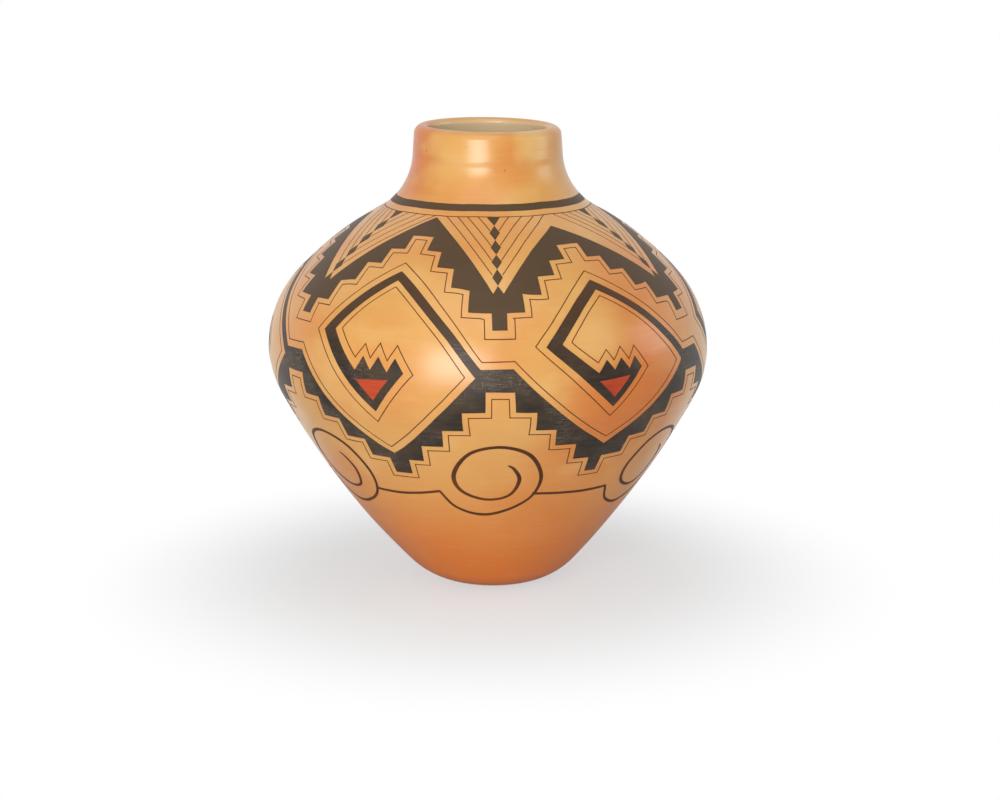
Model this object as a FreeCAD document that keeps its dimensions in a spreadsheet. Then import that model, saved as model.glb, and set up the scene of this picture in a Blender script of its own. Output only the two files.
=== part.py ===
import FreeCAD, Part
import math
import os
import Sketcher

# A coil-built pottery jar: a base pat pressed in a saucer, twelve clay coils luted one on the
# next with bevelled laps, and a thickened rolled lip. Millimetres, +Z up, origin at the centre
# of the underside. The wall follows one meridian, a chain of arcs that meet tangentially.

doc = FreeCAD.newDocument("coil_built_jar")
sizes = doc.addObject("Spreadsheet::Sheet", "sizes")

# Driving sizes. A "round" is the radius of an arc of the outer face. An "angle" is where that
# arc ends: the slope of the wall's outward normal, in degrees above or below level.
DRIVING_SIZES = (
    ("foot_radius", 22.4, "radius of the flat that the jar stands on"),
    ("foot_round", 53.3, "turn from the flat into the flank"),
    ("foot_angle", 42.9, "below level"),
    ("flank_round", 562.0, "long, nearly straight rise to the belly"),
    ("flank_angle", 27.2, "below level"),
    ("belly_low_round", 64.8, "turn under the widest line"),
    ("belly_high_round", 78.1, "turn above the widest line"),
    ("belly_angle", 42.45, "above level"),
    ("shoulder_round", 223.3, "broad shoulder"),
    ("shoulder_angle", 61.65, "above level"),
    ("throat_round", 46.9, "hollow turn from the shoulder into the neck"),
    ("neck_angle", 3.9, "above level, so the neck leans in as it rises"),
    ("neck_length", 15.4, "straight stretch of the neck"),
    ("lip_outer_round", 6.5, "outer turn of the lip"),
    ("lip_inner_round", 3.5, "inner turn of the lip"),
    ("wall", 7.0, "thickness of the pinched and scraped wall"),
    ("lap_angle", 30.0, "slant of a lap, from square across the wall"),
    ("overrun", 6.0, "how far a cutting shape passes the clay that it cuts"),
)
for row, (alias, number, meaning) in enumerate(DRIVING_SIZES, start=1):
    sizes.set(f"A{row}", meaning)
    sizes.set(f"B{row}", str(number))
    sizes.setAlias(f"B{row}", alias)
doc.recompute()


def measure(formula):
    """The number that a formula in the sheet's sizes gives."""
    return float(sizes.evalExpression(formula))


# Slopes of a normal that points straight down and straight up, and turns about the axis
DOWN_ANGLE = -90
UP_ANGLE = 90
HALF_TURN_ANGLE = 180
FULL_TURN_ANGLE = 360

# Stretches of the meridian, from the underside to the neck: name, signed round and the normal's
# slope at its upper end. The throat's round is negative because its centre is outside the jar.
STRETCHES = (
    ("foot", "sizes.foot_round", "-sizes.foot_angle"),
    ("flank", "sizes.flank_round", "-sizes.flank_angle"),
    ("belly_low", "sizes.belly_low_round", "0"),
    ("belly_high", "sizes.belly_high_round", "sizes.belly_angle"),
    ("shoulder", "sizes.shoulder_round", "sizes.shoulder_angle"),
    ("throat", "-sizes.throat_round", "sizes.neck_angle"),
)


class Stretch:
    """One arc of the meridian, held as formulas in the driving sizes."""

    def __init__(self, bend, across, up, start, end):
        self.bend = bend
        self.across = across
        self.up = up
        self.start = start
        self.end = end

    def slope(self, share):
        """Slope of the wall's outward normal, a share of the way up the stretch."""
        return f"({self.start} + {share} * ({self.end} - ({self.start})))"

    def point(self, slope):
        """Across and up of the outer face where the normal has this slope."""
        across = f"({self.across} + {self.bend} * cos({slope}))"
        up = f"({self.up} + {self.bend} * sin({slope}))"
        return across, up


def meridian():
    """The stretches in order, each arc's centre worked out from the one below it."""
    across = "sizes.foot_radius"
    up = STRETCHES[0][1]
    start = str(DOWN_ANGLE)
    bend_below = up
    stretches = {}
    for name, bend, end in STRETCHES:
        across = f"{across} + ({bend_below} - ({bend})) * cos({start})"
        up = f"{up} + ({bend_below} - ({bend})) * sin({start})"
        stretches[name] = Stretch(f"({bend})", across, up, start, end)
        start = end
        bend_below = bend
    return stretches


OUTER = meridian()


def polar(centre, radius, degrees):
    """The point at a distance and slope from a centre, in the sketch's plane."""
    turn = math.radians(degrees)
    return centre + FreeCAD.Vector(math.cos(turn), math.sin(turn), 0) * radius


def arc_between(centre, radius, first, last):
    """An arc from the smaller to the larger of two slopes, in degrees."""
    circle = Part.Circle(centre, FreeCAD.Vector(0, 0, 1), radius)
    low, high = sorted((math.radians(first), math.radians(last)))
    return Part.ArcOfCircle(circle, low, high)


def bind(sketch, name, formula, *constraint):
    """Add a sized constraint and tie it to a formula in the driving sizes."""
    number = measure(formula)
    if constraint[0] == "Angle":
        number = math.radians(number)
    index = sketch.addConstraint(Sketcher.Constraint(*constraint, number))
    sketch.renameConstraint(index, name)
    sketch.setExpression(f"Constraints.{name}", formula)


def section(name, draw):
    """A flat face in the plane of the jar's axis, filling the outline that draw sketches."""
    sketch = doc.addObject("Sketcher::SketchObject", f"{name}_outline")
    sketch.Placement.Rotation = FreeCAD.Rotation(FreeCAD.Vector(1, 0, 0), UP_ANGLE)
    draw(sketch)
    face = doc.addObject("Part::Face", name)
    face.Sources = [sketch]
    face.FaceMakerClass = "Part::FaceMakerSimple"
    return face


def part_of_section(kind, name, base, tool):
    """The part of one section inside another (Common) or outside it (Cut)."""
    piece = doc.addObject(f"Part::{kind}", name)
    piece.Base = base
    piece.Tool = tool
    return piece


def turned(name, profile):
    """A sub-part turned about the jar's axis from its section."""
    clay = doc.addObject("Part::Revolution", name)
    clay.Source = profile
    clay.Axis = FreeCAD.Vector(0, 0, 1)
    clay.Angle = FULL_TURN_ANGLE
    clay.Solid = False
    return clay


# A sketch numbers the start, end and centre of an edge, and its own origin and upright axis
START_INDEX, END_INDEX, CENTRE_INDEX = 1, 2, 3
ORIGIN_INDEX = (-1, START_INDEX)
UPRIGHT_INDEX = -2


def draw_wall(sketch):
    """The closed half section of the whole wall: outer face up, lip, inner face down."""
    ends = {}

    def add(label, geometry, lower_end):
        """Put an edge in the sketch and note which of its ends comes first on the way round."""
        index = sketch.addGeometry(geometry, False)
        upper_end = END_INDEX if lower_end == START_INDEX else START_INDEX
        ends[label] = (index, lower_end, upper_end)

    def line(label, first, last):
        """Put a straight edge in the sketch."""
        add(label, Part.LineSegment(first, last), START_INDEX)

    wall = measure("sizes.wall")
    foot_radius = measure("sizes.foot_radius")
    axis_low = FreeCAD.Vector(0, 0, 0)
    axis_high = FreeCAD.Vector(0, wall, 0)
    line("underside", axis_low, FreeCAD.Vector(foot_radius, 0, 0))

    centres = {}
    for name, stretch in OUTER.items():
        centre = FreeCAD.Vector(measure(stretch.across), measure(stretch.up), 0)
        radius = measure(stretch.bend)
        first, last = measure(stretch.start), measure(stretch.end)
        centres[name] = centre
        hollow = radius < 0
        if hollow:
            first, last = first + HALF_TURN_ANGLE, last + HALF_TURN_ANGLE
        add(name, arc_between(centre, abs(radius), first, last), END_INDEX if hollow else START_INDEX)

    # Neck and lip
    lean = measure("sizes.neck_angle")
    neck_low = polar(centres["throat"], -measure("sizes.throat_round"), lean)
    neck_high = polar(neck_low, measure("sizes.neck_length"), lean + UP_ANGLE)
    line("neck", neck_low, neck_high)
    outer_round = measure("sizes.lip_outer_round")
    inner_round = measure("sizes.lip_inner_round")
    outer_centre = polar(neck_high, -outer_round, lean)
    inner_centre = outer_centre + FreeCAD.Vector(0, outer_round - inner_round, 0)
    add("lip_outer", arc_between(outer_centre, outer_round, lean, UP_ANGLE), START_INDEX)

    # The inner neck face runs straight between the lip and the throat, tangent to both
    throat_round = measure("sizes.throat_round + sizes.wall")
    between = inner_centre - centres["throat"]
    rise = math.degrees(math.atan2(between.y, between.x))
    lean_in = rise + math.degrees(math.acos((throat_round - inner_round) / between.Length))
    add("lip_inner", arc_between(inner_centre, inner_round, UP_ANGLE, lean_in), START_INDEX)
    neck_in_high = polar(inner_centre, inner_round, lean_in)
    neck_in_low = polar(centres["throat"], throat_round, lean_in)
    line("neck_in", neck_in_high, neck_in_low)

    # Inner face, one wall thickness in from the outer face
    shoulder_end = measure("sizes.shoulder_angle") + HALF_TURN_ANGLE
    add("throat_in", arc_between(centres["throat"], throat_round, lean_in, shoulder_end), START_INDEX)
    convex = [name for name in OUTER if name != "throat"]
    for name in reversed(convex):
        stretch = OUTER[name]
        radius = measure(f"{stretch.bend} - sizes.wall")
        arc = arc_between(centres[name], radius, measure(stretch.start), measure(stretch.end))
        add(f"{name}_in", arc, END_INDEX)
    line("floor", FreeCAD.Vector(foot_radius, wall, 0), axis_high)
    line("on_axis", axis_high, axis_low)

    # Neighbouring edges meet tangentially, except at the axis
    square = {"underside", "on_axis"}
    labels = list(ends)
    for below, above in zip(labels, labels[1:] + labels[:1]):
        first, _, leaving = ends[below]
        second, arriving, _ = ends[above]
        kind = "Coincident" if above in square else "Tangent"
        sketch.addConstraint(Sketcher.Constraint(kind, first, leaving, second, arriving))
    edge = {label: index for label, (index, _, _) in ends.items()}
    sketch.addConstraint(Sketcher.Constraint("Coincident", edge["underside"], START_INDEX, *ORIGIN_INDEX))
    sketch.addConstraint(Sketcher.Constraint("Horizontal", edge["underside"]))
    sketch.addConstraint(Sketcher.Constraint("Horizontal", edge["floor"]))
    sketch.addConstraint(Sketcher.Constraint("Vertical", edge["on_axis"]))

    # Sizes
    bind(sketch, "foot_radius", "sizes.foot_radius", "Distance", edge["underside"])
    bind(sketch, "floor_radius", "sizes.foot_radius", "Distance", edge["floor"])
    bind(sketch, "floor_wall", "sizes.wall", "Distance", edge["on_axis"])
    for name, stretch in OUTER.items():
        sweep = f"{stretch.end} - ({stretch.start})"
        if name == "throat":
            bind(sketch, "throat_bend", "sizes.throat_round", "Radius", edge[name])
            bind(sketch, "throat_sweep", f"-({sweep})", "Angle", edge[name])
            continue
        bind(sketch, f"{name}_bend", stretch.bend, "Radius", edge[name])
        bind(sketch, f"{name}_sweep", sweep, "Angle", edge[name])
        bind(sketch, f"{name}_in_bend", f"{stretch.bend} - sizes.wall", "Radius", edge[f"{name}_in"])
        bind(sketch, f"{name}_in_sweep", sweep, "Angle", edge[f"{name}_in"])
    bind(sketch, "throat_in_bend", "sizes.throat_round + sizes.wall", "Radius", edge["throat_in"])
    bind(sketch, "neck_length", "sizes.neck_length", "Distance", edge["neck"])
    bind(sketch, "lip_outer_bend", "sizes.lip_outer_round", "Radius", edge["lip_outer"])
    bind(sketch, "lip_inner_bend", "sizes.lip_inner_round", "Radius", edge["lip_inner"])
    crest = ("Vertical", edge["lip_outer"], CENTRE_INDEX, edge["lip_outer"], END_INDEX)
    sketch.addConstraint(Sketcher.Constraint(*crest))


def lap_cut(across, up, slope):
    """Draws the section of all the clay below one lap.

    The lap starts at a point of the outer face and slants down through the wall to the inner
    face, so the coil above overlaps the coil below on the inside.
    """
    slant = f"({slope} + sizes.lap_angle)"
    inward = "(sizes.wall / cos(sizes.lap_angle) + sizes.overrun)"
    widest = OUTER["belly_low"].point("0")[0]
    inner = (f"{across} - {inward} * cos({slant})", f"{up} - {inward} * sin({slant})")
    outer = (f"{across} + sizes.overrun * cos({slant})", f"{up} + sizes.overrun * sin({slant})")
    beyond = f"{widest} + 2 * sizes.overrun"
    under = "-sizes.overrun"
    corners = (
        ("inner", inner),
        ("outer", outer),
        ("beyond", (beyond, outer[1])),
        ("under", (beyond, under)),
        ("foot", ("0", under)),
        ("axis", ("0", inner[1])),
    )

    def draw(sketch):
        """Six straight edges, with each corner placed across and up from the origin."""
        points = [FreeCAD.Vector(measure(x), measure(z), 0) for _, (x, z) in corners]
        count = len(points)
        for index in range(count):
            edge = Part.LineSegment(points[index], points[(index + 1) % count])
            sketch.addGeometry(edge, False)
        for index in range(count):
            following = (index + 1) % count
            joined = ("Coincident", index, END_INDEX, following, START_INDEX)
            sketch.addConstraint(Sketcher.Constraint(*joined))
        for index, (corner, (x, z)) in enumerate(corners):
            place(sketch, index, corner, "across", "DistanceX", x)
            place(sketch, index, corner, "up", "DistanceY", z)

    return draw


def place(sketch, index, corner, way, kind, formula):
    """Hold the start of an edge at a signed distance from the sketch's origin."""
    if formula == "0":
        sketch.addConstraint(Sketcher.Constraint("PointOnObject", index, START_INDEX, UPRIGHT_INDEX))
        return
    bind(sketch, f"{corner}_{way}", formula, kind, *ORIGIN_INDEX, index, START_INDEX)


# Laps from the base pat upwards: the coil that starts there, the stretch that it starts on and
# the share of that stretch below it.
FLANK_COILS = 4
BELLY_HIGH_COILS = 2
SHOULDER_COILS = 2
THROAT_LAP_SHARE = 0.55
RIM_LAP_SHARE = 0.3
laps = []
for coil in range(FLANK_COILS):
    laps.append((f"flank_coil_{coil + 1}", "flank", coil / FLANK_COILS))
laps.append(("belly_coil_1", "belly_low", 0))
for coil in range(BELLY_HIGH_COILS):
    laps.append((f"belly_coil_{coil + 2}", "belly_high", coil / BELLY_HIGH_COILS))
for coil in range(SHOULDER_COILS):
    laps.append((f"shoulder_coil_{coil + 1}", "shoulder", coil / SHOULDER_COILS))
laps.append(("throat_coil", "throat", 0))
laps.append(("neck_coil", "throat", THROAT_LAP_SHARE))
laps.append(("rim_coil", "neck", RIM_LAP_SHARE))


def lap_place(stretch, share):
    """Across, up and normal slope of the outer face where a lap starts."""
    if stretch != "neck":
        slope = OUTER[stretch].slope(share)
        across, up = OUTER[stretch].point(slope)
        return across, up, slope
    slope = "sizes.neck_angle"
    across, up = OUTER["throat"].point(slope)
    along = f"{share} * sizes.neck_length"
    return f"{across} - {along} * sin({slope})", f"{up} + {along} * cos({slope})", slope


# Sections: the whole wall, then what lies below each lap
wall_section = section("wall_section", draw_wall)
below = []
for coil_name, stretch_name, lap_share in laps:
    draw_lap = lap_cut(*lap_place(stretch_name, lap_share))
    below.append(section(f"below_{coil_name}", draw_lap))

# The pieces: the base pat lies below the first lap, and each coil lies between two laps
pieces = [turned("base_pat", part_of_section("Common", "base_pat_section", wall_section, below[0]))]
for index, (coil_name, _, _) in enumerate(laps):
    clay = wall_section
    if index + 1 < len(laps):
        clay = part_of_section("Common", f"up_to_{coil_name}", wall_section, below[index + 1])
    clay = part_of_section("Cut", f"{coil_name}_section", clay, below[index])
    pieces.append(turned(coil_name, clay))
doc.recompute()

# Nothing is written unless every object and every piece is sound
for item in doc.Objects:
    if {"Invalid", "Error"} & set(item.State):
        raise RuntimeError(f"{item.Label} failed: {item.State}")
for piece in pieces:
    if piece.Shape.isNull() or not piece.Shape.isValid() or len(piece.Shape.Solids) != 1:
        raise RuntimeError(f"{piece.Label} isn't one sound solid")

os.makedirs("parts", exist_ok=True)
for piece in pieces:
    piece.Shape.exportStep(f"parts/{piece.Label}.step")

# What was made
highest = max(piece.Shape.BoundBox.ZMax for piece in pieces)
print(f"jar {highest:.1f} high, {len(pieces)} pieces, {len(laps)} laps")
for piece in pieces:
    lump = piece.Shape.Solids[0]
    print(f"{piece.Label}: {lump.Volume:.0f} cubic millimetres, centred {lump.CenterOfMass.z:.1f} up")
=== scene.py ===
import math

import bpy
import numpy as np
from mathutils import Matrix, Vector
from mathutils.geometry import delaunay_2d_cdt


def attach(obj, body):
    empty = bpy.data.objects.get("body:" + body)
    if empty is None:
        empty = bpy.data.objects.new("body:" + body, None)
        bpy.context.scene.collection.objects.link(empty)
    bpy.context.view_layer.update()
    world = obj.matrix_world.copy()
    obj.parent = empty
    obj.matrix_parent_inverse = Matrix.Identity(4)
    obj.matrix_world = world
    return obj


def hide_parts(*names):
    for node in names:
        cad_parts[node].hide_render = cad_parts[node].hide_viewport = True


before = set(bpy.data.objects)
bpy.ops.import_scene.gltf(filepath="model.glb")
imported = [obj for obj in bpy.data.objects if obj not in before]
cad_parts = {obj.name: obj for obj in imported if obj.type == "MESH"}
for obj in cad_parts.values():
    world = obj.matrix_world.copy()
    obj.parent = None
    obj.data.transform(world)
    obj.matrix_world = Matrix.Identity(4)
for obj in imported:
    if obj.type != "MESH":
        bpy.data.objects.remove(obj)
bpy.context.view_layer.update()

# %% [markdown]
# A burnished pottery jar with a painted band.
# The real jar is one fired wall of clay. It was built up from coils, scraped, slipped, polished
# with a smooth stone and painted with a yucca brush before the firing.
# The packed part holds that wall as thirteen coils. This lesson covers each coil with a polished
# skin, lays the paint on the skins as thin solids of its own, and lights it all softly.
# Lengths are written in millimetres, as a potter would measure them.

METRES_PER_MM = 0.001
print("nodes of the packed jar:", len(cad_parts))

# %% [markdown]
# The camera stands in front of the jar and a little above it.
# Blender could hold the framing with a lens shift, but turning the camera by the same small
# angles keeps every other view true, so the aim point is given as the place in the picture
# where the middle of the jar's belly falls.

# %% Camera
PICTURE_WIDTH = 1000
PICTURE_HEIGHT = 800
BELLY_HEIGHT = 170.67
BELLY_DRIFT = -1.2
VIEW_ELEVATION = math.radians(11.097)
VIEW_DISTANCE = 1608.1
FOCAL_PIXELS = 2233.4
SENSOR_WIDTH = 36.0
AIM_PIXEL = (488.05, 345.56)


def aim_camera():
    """A camera that sees the belly's middle at AIM_PIXEL, turned instead of shifted."""
    across = math.atan((AIM_PIXEL[0] - PICTURE_WIDTH / 2) / FOCAL_PIXELS)
    above = math.atan((PICTURE_HEIGHT / 2 - AIM_PIXEL[1]) / FOCAL_PIXELS)
    right = Vector((1, 0, 0))
    up = Vector((0, math.sin(VIEW_ELEVATION), math.cos(VIEW_ELEVATION)))
    ahead = Vector((0, math.cos(VIEW_ELEVATION), -math.sin(VIEW_ELEVATION)))
    belly = Vector((BELLY_DRIFT, 0, BELLY_HEIGHT))
    place = (belly - ahead * VIEW_DISTANCE) * METRES_PER_MM
    turned_right = right * math.cos(across) + ahead * math.sin(across)
    turned_ahead = ahead * math.cos(across) - right * math.sin(across)
    turned_up = up * math.cos(above) + turned_ahead * math.sin(above)
    turned_ahead = turned_ahead * math.cos(above) - up * math.sin(above)
    camera = bpy.data.objects.new("camera", bpy.data.cameras.new("camera"))
    camera.data.sensor_width = SENSOR_WIDTH
    camera.data.lens = SENSOR_WIDTH * FOCAL_PIXELS / PICTURE_WIDTH
    columns = Matrix((turned_right, turned_up, -turned_ahead)).transposed()
    camera.matrix_world = Matrix.Translation(place) @ columns.to_4x4()
    bpy.context.scene.collection.objects.link(camera)
    bpy.context.scene.camera = camera
    return camera


camera = aim_camera()
print("lens:", round(camera.data.lens, 2), "mm")

# %% [markdown]
# A jar is turned about its axis, so one line, the meridian, holds its whole shape.
# It could be a spline through points, but the potter's curve is a few rounds that run smoothly
# into each other. The same rounds as in the part are written here, so skins and paint sit
# exactly where the packed wall is.

# %% Rounds of the wall
# Name, radius in millimetres, and where the arc ends: the slope of the wall's normal there, in
# degrees above level. The throat's radius is negative because its centre is outside the jar.
FOOT_RADIUS = 22.4
NECK_LENGTH = 15.4
NECK_ANGLE = 3.9
LIP_OUTER_ROUND = 6.5
LIP_INNER_ROUND = 3.5
WALL = 7.0
LAP_ANGLE = 30.0
ROUNDS = (
    ("foot", 53.3, -42.9),
    ("flank", 562.0, -27.2),
    ("belly_low", 64.8, 0.0),
    ("belly_high", 78.1, 42.45),
    ("shoulder", 223.3, 61.65),
    ("throat", -46.9, NECK_ANGLE),
)
print("rounds of the wall:", [name for name, _, _ in ROUNDS])

# %% [markdown]
# Each stretch of a face is an arc or a straight line, written as close points that also carry
# the direction in which the face looks there. Blender's curves would give the points, but not
# that direction, and it is what keeps the skins smooth.

# %% Arcs and straights
FINE_STEP = 0.1


def bent(centre, bend, first, last, flip=1):
    """Close points of an arc: across, up and the two parts of the face's outward normal."""
    count = max(2, math.ceil(abs(bend) * math.radians(abs(last - first)) / FINE_STEP))
    slope = np.radians(np.linspace(first, last, count))
    across = centre[0] + bend * np.cos(slope)
    up = centre[1] + bend * np.sin(slope)
    return np.stack([across, up, flip * np.cos(slope), flip * np.sin(slope)], 1)


def straight(first, last, slope):
    """Close points of a straight face whose normal has this slope."""
    length = math.dist(first, last)
    count = max(2, math.ceil(length / FINE_STEP))
    share = np.linspace(0, 1, count)
    across = first[0] + (last[0] - first[0]) * share
    up = first[1] + (last[1] - first[1]) * share
    turn = math.radians(slope)
    normal = np.ones(count)
    return np.stack([across, up, normal * math.cos(turn), normal * math.sin(turn)], 1)


def polar(centre, radius, slope):
    """The point at a distance and slope from a centre."""
    turn = math.radians(slope)
    return centre[0] + radius * math.cos(turn), centre[1] + radius * math.sin(turn)


print("points in a round of 10 mm:", len(bent((0, 0), 10, 0, 360)))

# %% [markdown]
# Everything below asks the wall the same few questions: how far out is it at this height, and
# which way does it face? A curve object could be evaluated for that. Here a small class keeps
# close points of one face with the distance along it, and reads between them.

# %% A face of the wall
class Face:
    """One side of the wall, from the axis to the crest of the lip, by distance along it."""

    def __init__(self, stretches):
        rows = []
        self.starts = {}
        reached = 0.0
        for name, points in stretches:
            self.starts[name] = reached
            rows.append(points)
            reached += float(np.hypot(*np.diff(points[:, :2], axis=0).T).sum())
        self.starts["crest"] = reached
        self.rows = np.concatenate(rows)
        steps = np.hypot(*np.diff(self.rows[:, :2], axis=0).T)
        self.along = np.concatenate([[0.0], np.cumsum(steps)])

    def at(self, along):
        """Across, up and normal at these distances."""
        found = [np.interp(along, self.along, self.rows[:, part]) for part in range(4)]
        length = np.hypot(found[2], found[3])
        return found[0], found[1], found[2] / length, found[3] / length

    def at_height(self, height):
        """Across, up and normal at these heights, for a face that always rises."""
        return self.at(self.along_at(height))

    def along_at(self, height):
        """Distance along the face at these heights."""
        return np.interp(height, self.rows[:, 1], self.along)

    def share(self, name, part):
        """The distance at which a share of a stretch lies below."""
        names = list(self.starts)
        following = names[names.index(name) + 1]
        return self.starts[name] + part * (self.starts[following] - self.starts[name])


print("points of a face lie", FINE_STEP, "mm apart")

# %% [markdown]
# The outer face is walked from the foot up. Each arc starts where the last one ended and faces
# the same way there, so its centre follows from the last centre by a short sum.
# The inner face could come from a Solidify modifier, but inside the lip it closes in a tighter
# round, so it is the same walk again, one wall's thickness further in.

# %% Outer and inner face
def inner_mouth(centre, bend, start, lip):
    """The inner throat, neck and lip; the neck is the straight line that touches both rounds."""
    throat_round = WALL - bend
    between = (lip[0] - centre[0], lip[1] - centre[1])
    rise = math.degrees(math.atan2(between[1], between[0]))
    lean = rise + math.degrees(math.acos((throat_round - LIP_INNER_ROUND) / math.hypot(*between)))
    neck_low = polar(centre, throat_round, lean)
    neck_high = polar(lip, LIP_INNER_ROUND, lean)
    return [
        ("throat", bent(centre, throat_round, start + 180, lean)),
        ("neck", straight(neck_low, neck_high, lean)),
        ("lip", bent(lip, LIP_INNER_ROUND, lean, 90)),
    ]


def wall_faces():
    """The two faces of the wall, each from the axis up to the crest of the lip."""
    outer = [("underside", straight((0, 0), (FOOT_RADIUS, 0), -90))]
    inner = [("floor", straight((0, WALL), (FOOT_RADIUS, WALL), 90))]
    across, up = FOOT_RADIUS, ROUNDS[0][1]
    bend_below, start = up, -90.0
    for name, bend, end in ROUNDS:
        across += (bend_below - bend) * math.cos(math.radians(start))
        up += (bend_below - bend) * math.sin(math.radians(start))
        outer.append((name, bent((across, up), bend, start, end)))
        if name != "throat":
            inner.append((name, bent((across, up), bend - WALL, start, end, -1)))
            throat_start = end
        start, bend_below = end, bend
    neck_low = polar((across, up), bend, NECK_ANGLE)
    neck_high = polar(neck_low, NECK_LENGTH, NECK_ANGLE + 90)
    lip = polar(neck_high, -LIP_OUTER_ROUND, NECK_ANGLE)
    outer.append(("neck", straight(neck_low, neck_high, NECK_ANGLE)))
    outer.append(("lip", bent(lip, LIP_OUTER_ROUND, NECK_ANGLE, 90)))
    inner_lip = (lip[0], lip[1] + LIP_OUTER_ROUND - LIP_INNER_ROUND)
    inner += inner_mouth((across, up), bend, throat_start, inner_lip)
    return Face(outer), Face(inner)


outer_face, inner_face = wall_faces()
WIDEST = float(outer_face.rows[:, 0].max())
CREST = float(outer_face.rows[:, 1].max())
print("widest radius:", round(WIDEST, 2), "height:", round(CREST, 2))

# %% [markdown]
# No jar made by hand is truly round. This one leans a little, its foot stands slightly to one
# side and its wall swells and dips by a fraction of a millimetre.
# A modifier could bend the finished pieces, but skins and paint must move together, so one
# function bends the space that all of them are placed in.

# %% Hand-made lean
# How far the wall has drifted sideways at some heights, and how much its level rings tilt.
DRIFT_HEIGHTS = (0.0, BELLY_HEIGHT, 335.0)
DRIFT_ACROSS = (2.3, BELLY_DRIFT, -1.4)
LEAN_HEIGHTS = (0.0, 50.0, BELLY_HEIGHT, 319.0, 331.0)
LEAN_SLOPES = (0.0, -0.0132, 0.0053, -0.0078, 0.0135)
# Swells: how many go round, the height of one turn of phase, how proud they are, and the phase.
SWELLS = ((3, 52.0, 0.16, 1.1), (5, 31.0, 0.09, 4.0), (8, 17.0, 0.05, 2.3))
SWELL_FADE = 20.0
MOUTH_DIP = 1.9
MOUTH_DIP_START = 286.0
MOUTH_RADIUS = 45.0


def lean_over(points):
    """Bends points of the even jar into the hand-made one."""
    x, y, z = points[..., 0], points[..., 1], points[..., 2]
    reach = np.hypot(x, y)
    turn = np.arctan2(x, -y)
    swell = sum(size * np.sin(waves * turn + z / pitch + phase) for waves, pitch, size, phase in SWELLS)
    swell = swell * reach / (reach + SWELL_FADE) * np.clip(z / SWELL_FADE, 0, 1)
    drift = np.interp(z, DRIFT_HEIGHTS, DRIFT_ACROSS)
    slope = np.interp(z, LEAN_HEIGHTS, LEAN_SLOPES)
    rise = np.clip((z - MOUTH_DIP_START) / (CREST - MOUTH_DIP_START), 0, 1)
    dip = MOUTH_DIP * rise * rise * (1 - y / MOUTH_RADIUS) / 2
    bent_x = x + drift + swell * np.sin(turn)
    return np.stack([bent_x, y - swell * np.cos(turn), z - slope * x - dip], -1)


def spin(across, up, turn):
    """Points of the hand-made jar at an angle about the axis; angle 0 faces the camera."""
    across, up, turn = np.broadcast_arrays(across, up, turn)
    return lean_over(np.stack([across * np.sin(turn), -across * np.cos(turn), up], -1))


print("lean of the crest:", np.round(spin(50.0, CREST, np.radians([-90.0, 90.0])), 2).tolist())

# %% [markdown]
# Smooth shading needs the direction in which the bent wall faces. Blender works it out from the
# faces of each mesh, but two coils that meet would then disagree along their edges and a seam
# would show. So it is measured on the wall itself, from two short steps round and along it.

# %% Which way the wall faces
NUDGE = 0.05
TURN_NUDGE = NUDGE / 100
TINY = 1e-12


def unit(vectors):
    """Vectors of length 1 in the same directions."""
    return vectors / np.maximum(np.linalg.norm(vectors, axis=-1, keepdims=True), TINY)


def facing(across, up, normal_across, normal_up, turn):
    """Unit normals of the hand-made wall, from small steps round and along it."""
    round_step = spin(across, up, turn + TURN_NUDGE) - spin(across, up, turn - TURN_NUDGE)
    ahead = spin(across - normal_up * NUDGE, up + normal_across * NUDGE, turn)
    behind = spin(across + normal_up * NUDGE, up - normal_across * NUDGE, turn)
    return unit(np.cross(round_step, ahead - behind))


def flat_normal(corner, first, second):
    """Unit normal of the flat through a corner and two neighbours."""
    return unit(np.cross(first - corner, second - corner))


belly_front = facing(*outer_face.at_height(BELLY_HEIGHT), 0.0)
print("the front of the belly faces:", np.round(belly_front, 3).tolist())

# %% [markdown]
# Every finish below is a small graph of nodes. Wiring nodes one by one hides the idea, so an
# output socket is wrapped in a class of its own: sums and products of wires read like ordinary
# arithmetic, and each adds the Math node that does it.

# %% Words for shader maths
class Wire:
    """One output of a node, with the arithmetic that the finishes use."""

    def __init__(self, finish, socket):
        self.finish = finish
        self.socket = socket

    def combine(self, operation, first, second):
        """A Math node on two values."""
        return self.finish.node("ShaderNodeMath", {"operation": operation}, {0: first, 1: second})

    def __add__(self, other):
        return self.combine("ADD", self, other)

    def __radd__(self, other):
        return self.combine("ADD", other, self)

    def __sub__(self, other):
        return self.combine("SUBTRACT", self, other)

    def __rsub__(self, other):
        return self.combine("SUBTRACT", other, self)

    def __mul__(self, other):
        return self.combine("MULTIPLY", self, other)

    def __rmul__(self, other):
        return self.combine("MULTIPLY", other, self)


print("a wire knows:", [word for word in vars(Wire) if word.endswith(("add__", "sub__", "mul__"))])

# %% [markdown]
# All other nodes come from one method. It takes a node's type, its settings and what goes into
# its sockets, each a value or a wire, and gives a wire from the output that is wanted next.

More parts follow.
